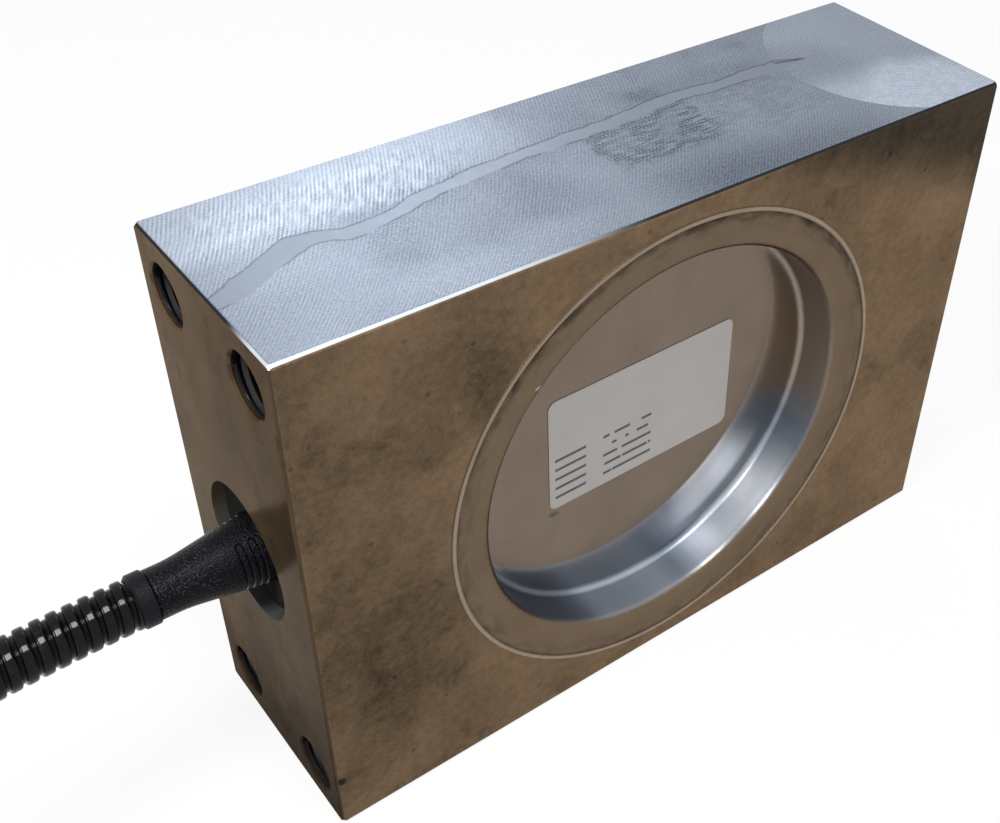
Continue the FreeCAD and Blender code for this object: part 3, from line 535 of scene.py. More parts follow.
# The middle of the tide mark across the top face, from the left edge to its tip, as X and Y in millimetres.
TIDE_MARK = [(-85, -5.5), (-80, -4), (-74, -1), (-69.5, 1.5), (-65, 2.7), (-60.5, 2.3), (-56, 0.6), (-50, 1.2),
             (-40, 3.9), (-29, 5.4), (-14, 6.4), (8, 7.3), (19, 8.4), (34, 7.2), (47, 7.6), (58, 6.2)]
TIDE_LOW, TIDE_HIGH = -10, 12
# The cutter's arcs: their radius, the Y of their middle, and their pitch.
MILL_SWEEP = 163.0
MILL_MIDDLE = 92.0
MILL_PITCH = 0.85
# The recut disc at the right end: the X of its middle, its radius, and the pitch of its rings.
END_CUT_MIDDLE = 78.0
END_CUT_RADIUS = 28.5
END_CUT_PITCH = 0.7

# Lighter and darker places of the top face along X and Y, for patches().
TOP_PATCHES = [
    # The first two rows, lighter on the left and at the back, are painted highlight.
    (None, (-45, 5), None, None, 12, 0, 0.03),
    (None, (-30, 6), (4, 10), None, 10, 4, 0.10),
    ((-66, -48), (-25, -7), (-20, -10), (8, 18), 12, 6, -0.11),
    ((-55, -37), (-15, 3), (9, 19), None, 12, 4, -0.07),
    ((-8, 12), (36, 60), None, (-23, -10), 0, 0, -0.12),
    ((-23, -9), (-4, 10), (0, 10), None, 10, 4, -0.07),
    ((5, 15), (41, 51), (1, 7), (12, 18), 10, 4, -0.05),
]
# The same for the front and the rear along X and Z.
SIDE_PATCHES = [
    ((25, 75), None, None, None, 1, 0, 0.13),
    (None, (-80, -50), None, (70, 95), 1, 0, -0.08),
    (None, (30, 50), (92, 112), None, 0, 0, 0.06),
    (None, (-82, -62), (84, 100), None, 1, 0, -0.12),
    (None, (-82, -62), (104, 114), None, 1, 0, -0.08),
    ((-53, -47), (-43, -37), (83, 93), (101, 111), 0.5, 0, -0.16),
]
# Dark oval stains on the front and the rear: middle, half size, upward drift, and how much darker.
SIDE_STAINS = [(-60, 100, 22, 15, 1, 0.07), (-64, 40, 15, 24, 1.5, 0.10)]
# A small dark nick on the front and the rear, as X and Z.
NICK = (-84, 14)

# The recess round the hose and the tapped holes, for their own paint.
RECESS_RADIUS = 17
RECESS_DEPTH = 12
THREAD_PITCH = 1.75


def tide_mark(steel):
    """The dried tide mark on the top, and the dark shore round it with a hook at its tip."""
    x, y = steel.x, steel.y
    middle = x.through(TIDE_MARK, TIDE_LOW, TIDE_HIGH)
    from_middle = abs(y - middle - (steel.noise(2.5, 3, seed=7) - 0.5) * 1.1)
    half_width = 1.8 + x.within(-82, -64, 4) * 1.1 + (steel.noise(7, 1, seed=8) - 0.5) * 1.4
    inside = from_middle - half_width * x.fall(50, 58)
    tide = inside.fall(-0.1, 0.1) * x.fall(57.6, 58.2)
    broken = (y - middle).rise(0, 0.4).math("MAXIMUM", steel.noise(13, 1, seed=9).rise(0.42, 0.47))
    shore = abs(inside).fall(0.14, 0.36) * x.fall(57.6, 58.4) * broken
    hook = x.within(50, 57.2, 0.8) * abs(y - 8.3 + (x - 50) * 0.26).fall(0.25, 0.6)
    return tide, shore * 0.13 + hook * 0.16


def scuffs(steel, wobble):
    """How much darker the top is where it is scuffed: a mesh of dashes, its fainter tail and a smudge."""
    x, y = steel.x, steel.y
    edge = steel.noise(3.5, 3, seed=4) * 5
    scuff = (x + edge).within(-2, 25, 1.2) * (y + edge).within(-7, 8.5, 1.5)
    tail = (x + edge).within(22, 52, 5) * (y + edge).within(-10, 8, 3)
    dashes = steel.noise(1.2, 2, seed=5, stretch=(0.3, 1, 1)).rise(0.3, 0.56)
    worn_through = steel.noise(5.5, 3, seed=20).rise(0.5, 0.56)
    mesh = (x.sine(0.95) * 0.7).math("MAXIMUM", y.sine(0.85)) * dashes * (1 - worn_through * 0.5)
    smudge = steel.noise(11, 3, seed=6).rise(0.5, 0.66) * (x + wobble * 14).within(3, 52, 3) * y.rise(9, 12)
    return scuff * mesh * 0.19 + tail * (mesh - 0.3) * 0.11 + smudge * 0.05


def recut_end(steel, wobble, from_end, rings):
    """How much lighter the recut disc is: its rings, and a lighter fan and a darker one that are painted
    highlight and shade on its turned marks.
    """
    turn = steel.y.math("ARCTAN2", steel.x - END_CUT_MIDDLE)
    # Painted highlight and shade: a lighter fan and a darker one round the disc's middle, as turned marks show
    # them under the light.
    painted_light_fan = (turn + 2.0 + wobble * 0.5).within(-0.75, 0.9, 0.35) * from_end.rise(3, 12)
    painted_shade_fan = abs(turn).rise(2.35, 2.8) * from_end.rise(4, 14)
    glint = steel.noise(1.3, 4, seed=19).rise(0.3, 0.7) * 0.35 + 0.6
    fans = painted_light_fan * glint * 0.28 - painted_shade_fan * steel.y.rise(-10, 0) * 0.06
    return 0.08 + fans + (rings - 0.5) * (0.05 + painted_light_fan * 0.12)


def milled_top(steel):
    """The top face: blue-grey, with arcs from the cutter, a dried tide mark, scuffs and a recut right end, and
    a painted highlight on the left towards the back.
    Returns its colour and its relief."""
    x, y = steel.x, steel.y
    wobble = steel.noise(9, 3, seed=1) - 0.5
    cloud = steel.noise(22, 3, seed=2)
    sweep = x - (MILL_SWEEP ** 2 - (y - MILL_MIDDLE) * (y - MILL_MIDDLE)).math("SQRT")
    arcs = (sweep + wobble * 0.8).sine(MILL_PITCH)
    from_end = distance(x - END_CUT_MIDDLE, y)
    end_cut = from_end.fall(END_CUT_RADIUS - 0.25, END_CUT_RADIUS + 0.25)
    rings = from_end.sine(END_CUT_PITCH)
    tide, shore = tide_mark(steel)

    light = 0.31 + (cloud - 0.5) * 0.16 + patches(x, y, wobble, TOP_PATCHES)
    patchy = steel.noise(5, 3, seed=16).rise(0.35, 0.65) * 0.6 + 0.4
    # Painted highlight: lighter streaks over the left of the top towards the back, where light glances off the
    # cuts.
    painted_sheen_zone = (x + wobble * 14).within(-82, -30, 12) * (y + wobble * 5).within(5, 21, 4)
    streaks = steel.noise(1.1, 4, seed=18, place=steel.at(sweep, y * 0.35, 0)).rise(0.34, 0.66)
    planed = (y + wobble).sine(0.72) * x.within(-80, -40, 8) * y.within(-10, 11, 4)
    lines = (arcs - 0.5) * (0.09 + x.fall(-80, -20) * 0.04 + painted_sheen_zone * 0.18) * patchy + (planed - 0.25) * 0.08
    light = light + painted_sheen_zone * (streaks * 0.16 - 0.03) + lines * (1 - end_cut) * (1 - tide)
    light = light - scuffs(steel, wobble)
    light = light + end_cut * recut_end(steel, wobble, from_end, rings) * (1 - tide)
    light = light + (steel.noise(0.6, 3, seed=10) - 0.5) * 0.30 * (1 - tide * 0.6)
    light = light * (1 - tide) + (0.29 + (cloud - 0.5) * 0.06) * tide - shore
    colour = steel.mix((61, 70, 84), (226, 238, 255), light)
    relief = (arcs * (1 - end_cut) + rings * end_cut) * (1 - tide)
    return colour, relief


def worn_sides_and_reflection(steel):
    """The front and rear faces: a satin brown skin with clouds and dark blots, and a right upper corner painted
    dark as a reflection.
    Returns their colour and their mottle."""
    x, z = steel.x, steel.z
    cloud = steel.noise(34, 4, seed=11)
    blots = steel.noise(9, 4, seed=12).rise(0.56, 0.72)
    mottle = steel.noise(1.8, 5, seed=13)
    pale = steel.noise(14, 5, seed=17).rise(0.49, 0.54)
    grain = steel.noise(0.5, 2, seed=14)
    wobble = (steel.noise(10, 2, seed=15) - 0.5) * 12
    light = 0.45 + (cloud - 0.5) * 0.6 - blots * 0.12 + pale * 0.07 + patches(x, z, wobble, SIDE_PATCHES)
    light = light + (mottle - 0.5) * 0.42 + (grain - 0.5) * 0.3
    for middle_x, middle_z, half_x, half_z, drift, darker in SIDE_STAINS:
        across, up = (x - middle_x + wobble) / half_x, (z - middle_z + wobble * drift) / half_z
        light = light - distance(across, up).fall(0.7, 1.1) * darker
    # Painted reflection: the right upper corner is painted dark and grey, for a dark thing it mirrors.
    corner = (x * 0.5 + (z - 100) * 1.4 + wobble * 0.9).rise(28, 54)
    nick = distance(x - NICK[0], z - NICK[1]).fall(0.5, 1.4)
    light = light - corner * 0.42 - steel.specks(7, 0.10, seed=3) * 0.16 - nick * 0.4
    brown = steel.mix((44, 38, 32), (150, 125, 98), light)
    return steel.mix(brown, (52, 50, 46), corner * 0.6), mottle


def worn_ends_and_shade(steel):
    """The end faces: the same brown skin, smoother, with rusty drips and pits, and a foot painted darker as
    shade.
    Returns their colour and their grain."""
    y, z = steel.y, steel.z
    cloud = steel.noise(16, 4, seed=21)
    rust = steel.noise(5, 4, seed=22, stretch=(1, 1, 0.55)).rise(0.5, 0.72)
    grain = steel.noise(0.6, 3, seed=23)
    pits = steel.specks(3.4, 0.2, seed=5).math("MAXIMUM", steel.specks(7, 0.16, seed=6, stretch=(1, 1, 0.5)))
    light = 0.29 + (cloud - 0.5) * 0.34 - rust * 0.10 - pits * 0.12 + (grain - 0.5) * 0.18
    # Lighter towards the rear and darker towards the front; the foot is painted darker as shade.
    light = light + y.rise(-10, 26) * 0.12 - y.fall(-22, -6) * 0.05 - z.fall(2, 50) * 0.22
    colour = steel.mix((34, 27, 21), (146, 122, 94), light)
    return steel.mix(colour, (92, 68, 44), rust * 0.3 + pits * 0.2), grain


def body_steel():
    """One material for the whole block, which tells its faces, edges and holes apart by place."""
    steel = Surface("body_steel", gloss=0.0, edge=(0.55, 0.53, 0.51, 1))
    x, y, z = steel.x, steel.y, steel.z
    across, _, up = steel.facing
    off_x, off_y, off_z = abs(x), abs(y), abs(z - HALF_HEIGHT)
    inner = 1.0
    for from_middle, half in ((off_x, HALF_LENGTH), (off_y, HALF_DEPTH), (off_z, HALF_HEIGHT)):
        inner = inner * from_middle.fall(half - 1.0, half - 0.9)
    top, lines = milled_top(steel)
    sides, mottle = worn_sides_and_reflection(steel)
    ends, grain = worn_ends_and_shade(steel)
    from_end, from_side, from_top = HALF_LENGTH - off_x, HALF_DEPTH - off_y, HALF_HEIGHT - off_z
    is_end = (from_side.math("MINIMUM", from_top) - from_end).rise(0.15, 0.4)
    is_side = (from_end.math("MINIMUM", from_top) - from_side).rise(0.15, 0.4)
    is_top = (from_end.math("MINIMUM", from_side) - from_top).rise(0.4, 0.65)
    # Painted highlight: chamfers that face up are dark grey, and are painted bright along the front left, where
    # they catch the light.
    edge_glint_zone = x.fall(-46, -8) * y.fall(-20, -10)
    chamfer_with_glint = steel.mix((48, 50, 54), (214, 222, 230), edge_glint_zone)
    colour = steel.mix((78, 66, 54), chamfer_with_glint, up.rise(0.3, 0.5))
    for face, share in ((sides, is_side), (ends, is_end), (top, is_top)):
        colour = steel.mix(colour, face, share)

    entry = distance(y, z - HALF_HEIGHT).fall(RECESS_RADIUS - 1.5, RECESS_RADIUS)
    entry = entry * off_x.rise(HALF_LENGTH - RECESS_DEPTH, HALF_LENGTH - RECESS_DEPTH + 2)
    low_wall = steel.mix((98, 86, 72), (88, 87, 88), (z - HALF_HEIGHT).fall(-6, 2))
    # Painted shade: the tapped bores are painted nearly black. The recess round the hose is brown above and
    # grey below.
    hole = steel.mix((36, 36, 39), low_wall, entry)
    wall = abs(across).fall(0.8, 0.9)
    colour = steel.mix(colour, hole, inner.math("MAXIMUM", entry) * wall)
    bare = 1 - inner.math("MAXIMUM", entry * wall) * (0.35 + entry * 0.4)
    bare = bare * (1 - is_end * (0.45 + z.fall(0, 70) * 0.3))
    feed(steel.tree, steel.paint.inputs["Metallic"], bare)
    thread = x.sine(THREAD_PITCH) * inner * off_x.rise(HALF_LENGTH - 31, HALF_LENGTH - 30) * (1 - entry)
    steel.emboss(lines * is_top, 0.006)
    steel.emboss(thread, 0.5)
    steel.emboss(mottle * (1 - is_top) * (1 - is_end) + grain * is_end * 0.5, 0.02)
    rough = 0.36 + (mottle - 0.5) * 0.12 - is_end * (0.14 - z.fall(0, 50) * 0.14)
    return steel.finish(colour, rough)


# -------- the welded cups

# Sizes in millimetres: the cup's sheet, wall and roundings, and the bead's section and the pitch of its ripple.
SHEET = 0.8
EDGE_BREAK = 0.03
CUP_RADIUS = 46.2
CUP_LIP = 2.4
CUP_CORNER = 1.4
CUP_AROUND = 256
BEAD_INSET = 0.55
BEAD_HALF_WIDTH = 0.62
BEAD_CROWN = 0.25
BEAD_FOOT = 0.02
BEAD_RIPPLE = 1.3
RIPPLE_DEPTH = 0.35
BEAD_MIDDLE = 55.0


def arc(middle, radius, start, end, steps):
    """Points of an arc, by angles in degrees."""
    turns = [math.radians(start + (end - start) * i / steps) for i in range(steps + 1)]
    return [(middle[0] + radius * math.cos(t), middle[1] + radius * math.sin(t)) for t in turns]


def lathe(name, section, around, spot, lift=None):
    """A closed section of (radius, along) points turned into a piece. spot places (along, across, up), and
    lift may change the radius and the place along by the angle."""
    columns = np.arange(around) * 2 * np.pi / around
    radius, along = [np.tile(part, (around, 1)) for part in zip(*section)]
    if lift is not None:
        radius, along = lift(radius, along, columns[:, None])
    places = spot(along, radius * np.cos(columns)[:, None], radius * np.sin(columns)[:, None]) * MM
    bm = bmesh.new()
    made = [[bm.verts.new(place) for place in column] for column in places]
    count = len(section)
    for i in range(around):
        here, there = made[i], made[(i + 1) % around]
        for k in range(count):
            over = (k + 1) % count
            bm.faces.new((here[k], here[over], there[over], there[k]))
    bmesh.ops.remove_doubles(bm, verts=bm.verts[:], dist=1e-7)
    bmesh.ops.dissolve_degenerate(bm, edges=bm.edges[:], dist=1e-8)
    bmesh.ops.delete(bm, geom=[edge for edge in bm.edges if not edge.link_faces], context="EDGES")
    return add_object(name, mesh_from(bm, name))


def round_cover(side):
    """Places for a piece turned about the covers' axis. along is the depth below the face on that side."""
    return lambda along, across, up: np.stack([across, side * (HALF_DEPTH - along), up + HALF_HEIGHT], axis=-1)


def dress_piece(piece, material, node):
    """Puts a new piece in the place of a CAD node."""
    piece.data.materials.append(material)
    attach(piece, "root")
    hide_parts(node)


def make_cup(name, node, side, material):
    """The drawn cup: flange, rounded lip, straight wall, tight corner and flat bottom, in one sheet."""
    low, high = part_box(node)
    rim = (high.x - low.x) / 2 / MM
    floor = (high.y - low.y) / MM - SHEET
    outer, corner = CUP_RADIUS + CUP_LIP, CUP_RADIUS - CUP_CORNER
    section = [(rim, EDGE_BREAK), (rim, 0), (rim - EDGE_BREAK, 0), (rim - 2, 0), (outer + 1, 0)]
    section += arc((outer, CUP_LIP), CUP_LIP, -90, -180, 12)
    section += [(CUP_RADIUS, floor / 2)]
    section += arc((corner, floor - CUP_CORNER), CUP_CORNER, 0, 90, 8)
    section += [(corner * share, floor) for share in (0.97, 0.9, 0.75, 0.5, 0.25, 0)]
    section += [(corner * share, floor + SHEET) for share in (0, 0.5, 0.9)]
    section += arc((corner, floor - CUP_CORNER), CUP_CORNER + SHEET, 90, 0, 6)
    section += arc((outer, CUP_LIP), CUP_LIP - SHEET, -180, -90, 8)
    section += [(rim, SHEET)]
    cup = lathe(name, section, CUP_AROUND, round_cover(side))
    dress_piece(cup, material, node)


def make_bead(name, node, side, material):
    """The closing weld: a narrow rounded bead with a fine ripple."""
    low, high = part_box(node)
    middle = (high.x - low.x) / 2 / MM - BEAD_INSET
    half = BEAD_HALF_WIDTH
    section = [(middle - half + 0.07, SHEET), (middle - half, BEAD_FOOT)]
    section += [(middle + half * math.cos(t), -BEAD_CROWN * math.sin(t))
                for t in np.linspace(math.pi * 0.94, math.pi * 0.06, 9)]
    section += [(middle + half, BEAD_FOOT), (middle + half - 0.07, SHEET)]
    ripples = round(2 * math.pi * middle / BEAD_RIPPLE)

    def ripple(radius, along, angle):
        across = np.clip(1 - ((radius - middle) / half) ** 2, 0, 1)
        wave = 0.5 + 0.5 * np.cos(ripples * angle + (radius - middle) * 1.6 + 0.8 * np.sin(7 * angle))
        return radius, np.where(along < 0, along * (1 - RIPPLE_DEPTH * wave * across), along)

    bead = lathe(name, section, ripples * 6, round_cover(side), ripple)
    dress_piece(bead, material, node)


def brush_round(sheet):
    """Turns the anisotropic highlight round the covers' axis."""
    turned = add_node(sheet.tree, "Tangent", direction_type="RADIAL", axis="Y")
    sheet.tree.links.new(turned.outputs[0], sheet.paint.inputs["Tangent"])
    sheet.paint.inputs["Anisotropic Rotation"].default_value = 0.25


def cup_flange(sheet, x, z, radius, turn, light):
    """The flange: brown, sooty next to the weld, burnt along its upper part, with one pale fleck."""
    around = sheet.at(turn * 9, radius * 0.4, 0)
    soot = sheet.noise(1.1, 3, seed=33, place=around).rise(0.42, 0.66) * radius.rise(49.5, 53.5)
    burnt = z.rise(10, 40) * sheet.noise(0.8, 3, seed=35, place=around).rise(0.3, 0.6) * radius.rise(52.2, 53.8)
    dark = soot * 0.35 + radius.rise(53.6, 54.3) * 0.25 + burnt * 0.5
    flange = sheet.mix((69, 57, 46), (137, 118, 98), light)
    flange = sheet.mix(flange, (50, 43, 37), dark)
    fleck = distance((x + 35.4 - (z - 32.7)) / 0.8, (z - 32.7) / 0.4).fall(0.5, 1.1)
    return sheet.mix(flange, (168, 160, 150), fleck)


def cup_wall(sheet, x, z, depth, turn, bearing, painted_highlight):
    """The drawn wall: blue-grey streaks, with a painted highlight at the lower right, a strip painted lighter
    along the bottom, painted shade at the lower left and a brown right that is a painted reflection.
    """
    drawn = sheet.noise(3, 2, seed=34, place=sheet.at(turn * 46, depth * 0.2, 0))
    wall = sheet.mix((114, 123, 136), (138, 146, 158), drawn)
    # Painted highlight: lighter along the bottom of the wall, which faces up towards the light.
    wall = sheet.mix(wall, (196, 206, 218), bearing.within(-113, -84, 5) * 0.5)
    # Painted shade: darker at the lower left of the wall.
    wall = sheet.mix(wall, (102, 108, 118), x.fall(-27, -17) * z.fall(-10, 10))
    # Painted highlight on the wall's lower right, fading out towards the lip.
    wall = sheet.mix(wall, (200, 204, 211), painted_highlight * depth.rise(0.8, 3.5) * 0.62)
    # Painted reflection: brown from the right upwards, where the wall faces down towards the bottom and the
    # floor.
    return sheet.mix(wall, (150, 137, 126), bearing.rise(-26, -6))


def cup_bottom(sheet, x, z, radius, bearing, painted_highlight, fine, light):
    """The bottom: brown, with a stain, and on the front cup a crescent along the wall that is a painted
    reflection of the wall.
    """
    bottom = sheet.mix((76, 66, 58), (150, 134, 120), light)
    stain = distance((x + 23.7) / 1.7, (z + 14.6 + x * 0.2 + 4.7) / 0.9).fall(0.5, 1.1) * fine.rise(0.3, 0.6)
    bottom = sheet.mix(bottom, (62, 58, 46), stain * 0.7)
    # Painted reflection: on the front cup, a crescent where the bottom mirrors the wall, lighter at the wall's
    # painted highlight and brown at the upper right.
    painted_reflection = distance(x + 9, z - 11.6).rise(43.5, 44.6) * sheet.y.fall(-1, 1)
    band = sheet.mix((132, 136, 142), (216, 218, 222), painted_highlight * radius.fall(39.5, 42.5))
    band = sheet.mix(band, (140, 127, 115), bearing.rise(-26, -8))
    return sheet.mix(bottom, band, painted_reflection * 0.85)


def cover_steel():
    """The cups' sheet: brown on the flange and the bottom, blue-grey where drawing has rubbed the wall smooth,
    with painted highlight, shade and reflection on the wall and on the front cup's bottom.
    """
    sheet = Surface("cover_steel", metallic=0.9, edge=(0.5, 0.48, 0.46, 1), anisotropic=0.5)
    brush_round(sheet)
    x, z = sheet.x, sheet.z - HALF_HEIGHT
    radius = distance(x, z)
    depth = HALF_DEPTH - abs(sheet.y)
    turn = z.math("ARCTAN2", x)
    bearing = turn * (180 / math.pi)
    cloud = sheet.noise(12, 4, seed=31)
    fine = sheet.noise(0.7, 3, seed=32)
    light = 0.5 + (cloud - 0.5) * 0.3 + (fine - 0.5) * 0.16 - sheet.specks(6, 0.07, seed=2) * 0.12
    # Painted highlight: a span of the wall's lower right, also used for its painted reflection on the front
    # cup's bottom.
    painted_highlight = bearing.within(-68, -34, 9)
    flange = cup_flange(sheet, x, z, radius, turn, light)
    wall = cup_wall(sheet, x, z, depth, turn, bearing, painted_highlight)
    bottom = cup_bottom(sheet, x, z, radius, bearing, painted_highlight, fine, light)
    near_wall = depth.rise(0.7, 2.2) * radius.rise(CUP_RADIUS - 2.2, CUP_RADIUS - 1.0)
    colour = sheet.mix(sheet.mix(bottom, flange, depth.fall(4, 5)), wall, near_wall)
    sheet.emboss(fine, 0.012)
    rough = 0.26 + (fine - 0.5) * 0.1 + near_wall * 0.14 - depth.rise(9, 10.5) * (1 - near_wall) * 0.09
    return sheet.finish(colour, rough)


def weld_steel():
    """The weld beads: brown, with a lighter crown and dark edges."""
    bead = Surface("weld_steel", metallic=0.85)
    cloud = bead.noise(8, 3, seed=41)
    fine = bead.noise(0.5, 3, seed=42)
    off_middle = abs(distance(bead.x, bead.z - HALF_HEIGHT) - BEAD_MIDDLE)
    light = 0.5 + (cloud - 0.5) * 0.5 + (fine - 0.5) * 0.3
    crown = bead.mix((110, 94, 77), (172, 152, 130), light)
    colour = bead.mix(crown, (48, 40, 33), off_middle.rise(0.28, 0.5) * 0.75)
    bead.emboss(fine, 0.03)
    return bead.finish(colour, 0.42)


# Where the bars lie on the label, in millimetres from its middle.
LABEL_TILT = math.radians(1.2)
ROW_PITCH = 2.6
ROWS_LOW, ROWS_HIGH = -13.0, 0.0
LEFT_COLUMN = (-23.0, -15.0)
RIGHT_COLUMN = (-10.5, 2.5)


def label_foil():
    """A silver foil without letters: on its lower left, dark bars in two columns stand for print."""
    foil = Surface("label_foil", metallic=0.6, gloss=0.4)
    low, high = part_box("type_label")
    x, z = foil.x - (low.x + high.x) / 2 / MM, foil.z - (low.z + high.z) / 2 / MM
    right = x * math.cos(LABEL_TILT) + z * math.sin(LABEL_TILT)
    up = z * math.cos(LABEL_TILT) - x * math.sin(LABEL_TILT)
    cloud = foil.noise(10, 3, seed=51)
    fine = foil.noise(0.25, 2, seed=52)
    light = 0.5 + (cloud - 0.5) * 0.35 + (fine - 0.5) * 0.22
    paper = foil.mix((152, 149, 146), (182, 179, 176), light)
    row = (up / ROW_PITCH).math("FLOOR")
    rows = abs((up / ROW_PITCH).math("FRACT") - 0.5).fall(0.12, 0.16) * up.within(ROWS_LOW, ROWS_HIGH, 0.05)
    words = foil.noise(2.4, 0, seed=53, place=foil.at(right, row * 9, 0)).rise(0.36, 0.39)
    columns = right.within(*LEFT_COLUMN, 0.05) + right.within(*RIGHT_COLUMN, 0.05) * words
    colour = foil.mix(paper, (52, 49, 47), rows * columns * 0.85)
    foil.emboss(cloud, 0.05)
    return foil.finish(colour, 0.38 + (fine - 0.5) * 0.1)


# -------- threads

# The left end's threads in millimetres: their radii, their depth and the section of their ridge.
THREAD_ROOT = 6.02
THREAD_CREST = 5.16
THREAD_DEPTH = 28.5
THREAD_INSET = 1.15
THREAD_HALF_FOOT = 0.78
THREAD_HALF_FLAT = 0.12
THREAD_STEPS = 40
BOLT_ACROSS = 15.0
BOLT_UP = 50.0


def make_thread(name, across, up, material):
    """The thread in one of the left end's holes: a closed helical ridge that stands on the bore's wall."""
    turns = THREAD_DEPTH / THREAD_PITCH
    angle = np.arange(int(turns * THREAD_STEPS) + 1) * 2 * np.pi / THREAD_STEPS
    fade = np.clip(np.minimum(angle, angle[-1] - angle) / math.pi, 0.02, 1)
    crest = THREAD_ROOT - (THREAD_ROOT - THREAD_CREST) * fade
    root = np.full_like(angle, THREAD_ROOT)
    along = -HALF_LENGTH + THREAD_INSET + angle / (2 * np.pi) * THREAD_PITCH
    places = []
    for shift, reach in ((-THREAD_HALF_FOOT, root), (-THREAD_HALF_FLAT, crest),
                         (THREAD_HALF_FLAT, crest), (THREAD_HALF_FOOT, root)):
        spots = [along + shift, across + reach * np.cos(angle), up + reach * np.sin(angle)]
        places.append(np.stack(spots, axis=-1))
    rings = np.stack(places, axis=1) * MM
    bm = bmesh.new()
    made = [[bm.verts.new(place) for place in ring] for ring in rings]
    for here, there in zip(made, made[1:]):
        for k in range(4):
            bm.faces.new((here[k], here[(k + 1) % 4], there[(k + 1) % 4], there[k]))
    bm.faces.new(made[0])
    bm.faces.new(made[-1])
    thread = add_object(name, mesh_from(bm, name, smooth=False))
    thread.data.materials.append(material)
    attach(thread, "root")


def thread_steel():
    """The threads: oiled steel, painted darker into the hole as shade."""
    steel = Surface("thread_steel", metallic=0.9, edge=(0.3, 0.3, 0.3, 1))
    fine = steel.noise(0.6, 3, seed=61)
    # Painted shade: darker further into the hole.
    hole_shade = (steel.x + HALF_LENGTH).rise(0, 9)
    colour = steel.mix((66, 66, 66), (22, 22, 24), hole_shade * 0.6 + (fine - 0.5) * 0.6 + 0.2)
    steel.emboss(fine, 0.02)
    return steel.finish(colour, 0.32 + (fine - 0.5) * 0.2)


def make_threads():
    """The threads of the left end's four holes."""
    worn = thread_steel()
    for row, up in (("lower", -BOLT_UP), ("upper", BOLT_UP)):
        for place, across in (("front", -BOLT_ACROSS), ("rear", BOLT_ACROSS)):
            make_thread(f"{row}_{place}_thread", across, HALF_HEIGHT + up, worn)


# -------- the boot

# Sizes in millimetres: the boot's radii, neck and bend, and the slots with the groove that outlines them.
BOOT_TIP_RADIUS = 4.95
BOOT_ROOT_RADIUS = 7.35
BOOT_SHANK_RADIUS = 5.0
BOOT_BORE_RADIUS = 2.5
BOOT_TIP_ROUNDING = 0.35
BOOT_NECK = 5.0
BOOT_BEND = 2.2
BOOT_AROUND = 420
BOOT_ROW_STEP = 0.09
SLOT_MIDDLES = (-85.0, -87.5)
SLOT_HALF_WIDTH = 0.6
SLOT_HALF_SPAN = math.radians(62)
SLOT_MARGIN = 1.4
SLOT_DEPTH = 0.06
GROOVE_DEPTH = 0.32
GROOVE_WIDTH = 0.14


def boot_radius(along, tip, root):
    """The boot's outside: a straight neck, a soft bend, and a straight flare to the root."""
    bend = tip + BOOT_NECK
    slope = (BOOT_ROOT_RADIUS - BOOT_TIP_RADIUS) / (root - bend)
    t = along - bend
    soft = slope * (t + BOOT_BEND) ** 2 / (4 * BOOT_BEND)
    return BOOT_TIP_RADIUS + np.where(t < -BOOT_BEND, 0, np.where(t > BOOT_BEND, slope * t, soft))


def boot_section(tip, root, first_slot):
    """The boot's closed section as (radius, along) points, with fine rows where the slots are."""
    rows = np.concatenate([np.linspace(tip + BOOT_TIP_ROUNDING, first_slot, 40),
                           np.arange(first_slot + BOOT_ROW_STEP, root - 0.1, BOOT_ROW_STEP)])
    section = [(BOOT_BORE_RADIUS, tip), (BOOT_TIP_RADIUS - BOOT_TIP_ROUNDING, tip)]
    section += [(BOOT_TIP_RADIUS - 0.1, tip + 0.1)]
    section += [(float(boot_radius(s, tip, root)), float(s)) for s in rows]
    section += [(BOOT_ROOT_RADIUS, root - EDGE_BREAK), (BOOT_ROOT_RADIUS - EDGE_BREAK, root)]
    section += [(BOOT_SHANK_RADIUS, root), (BOOT_SHANK_RADIUS, -HALF_LENGTH), (BOOT_BORE_RADIUS, -HALF_LENGTH)]
    return section


def make_boot(material):
    """The strain relief: a flared sleeve with two round-ended slots on each side, outlined by a fine groove."""
    low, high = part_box("strain_relief_boot")
    tip, root = low.x / MM, high.x / MM
    first = SLOT_MIDDLES[-1] - SLOT_MARGIN

    def carve(radius, along, angle):
        outside = (radius > BOOT_TIP_RADIUS - 0.05) & (along > first) & (along < root - 0.05)
        from_side = np.abs(np.mod(angle, np.pi))
        from_side = np.minimum(from_side, np.pi - from_side)
        past = np.maximum(0, (from_side - SLOT_HALF_SPAN) * radius + SLOT_HALF_WIDTH)
        depth = np.zeros_like(radius)
        for middle in SLOT_MIDDLES:
            reach = np.hypot(past, along - middle)
            groove = GROOVE_DEPTH * np.exp(-((reach - SLOT_HALF_WIDTH) / GROOVE_WIDTH) ** 2)
            depth = np.maximum(depth, np.where(reach < SLOT_HALF_WIDTH, np.maximum(groove, SLOT_DEPTH), groove))
        return radius - np.where(outside, depth, 0), along

    def spot(along, across, up):
        return np.stack([along, across, up + HALF_HEIGHT], axis=-1)

    boot = lathe("flexing_boot", boot_section(tip, root, first), BOOT_AROUND, spot, carve)
    dress_piece(boot, material, "strain_relief_boot")


# -------- black parts and plain materials

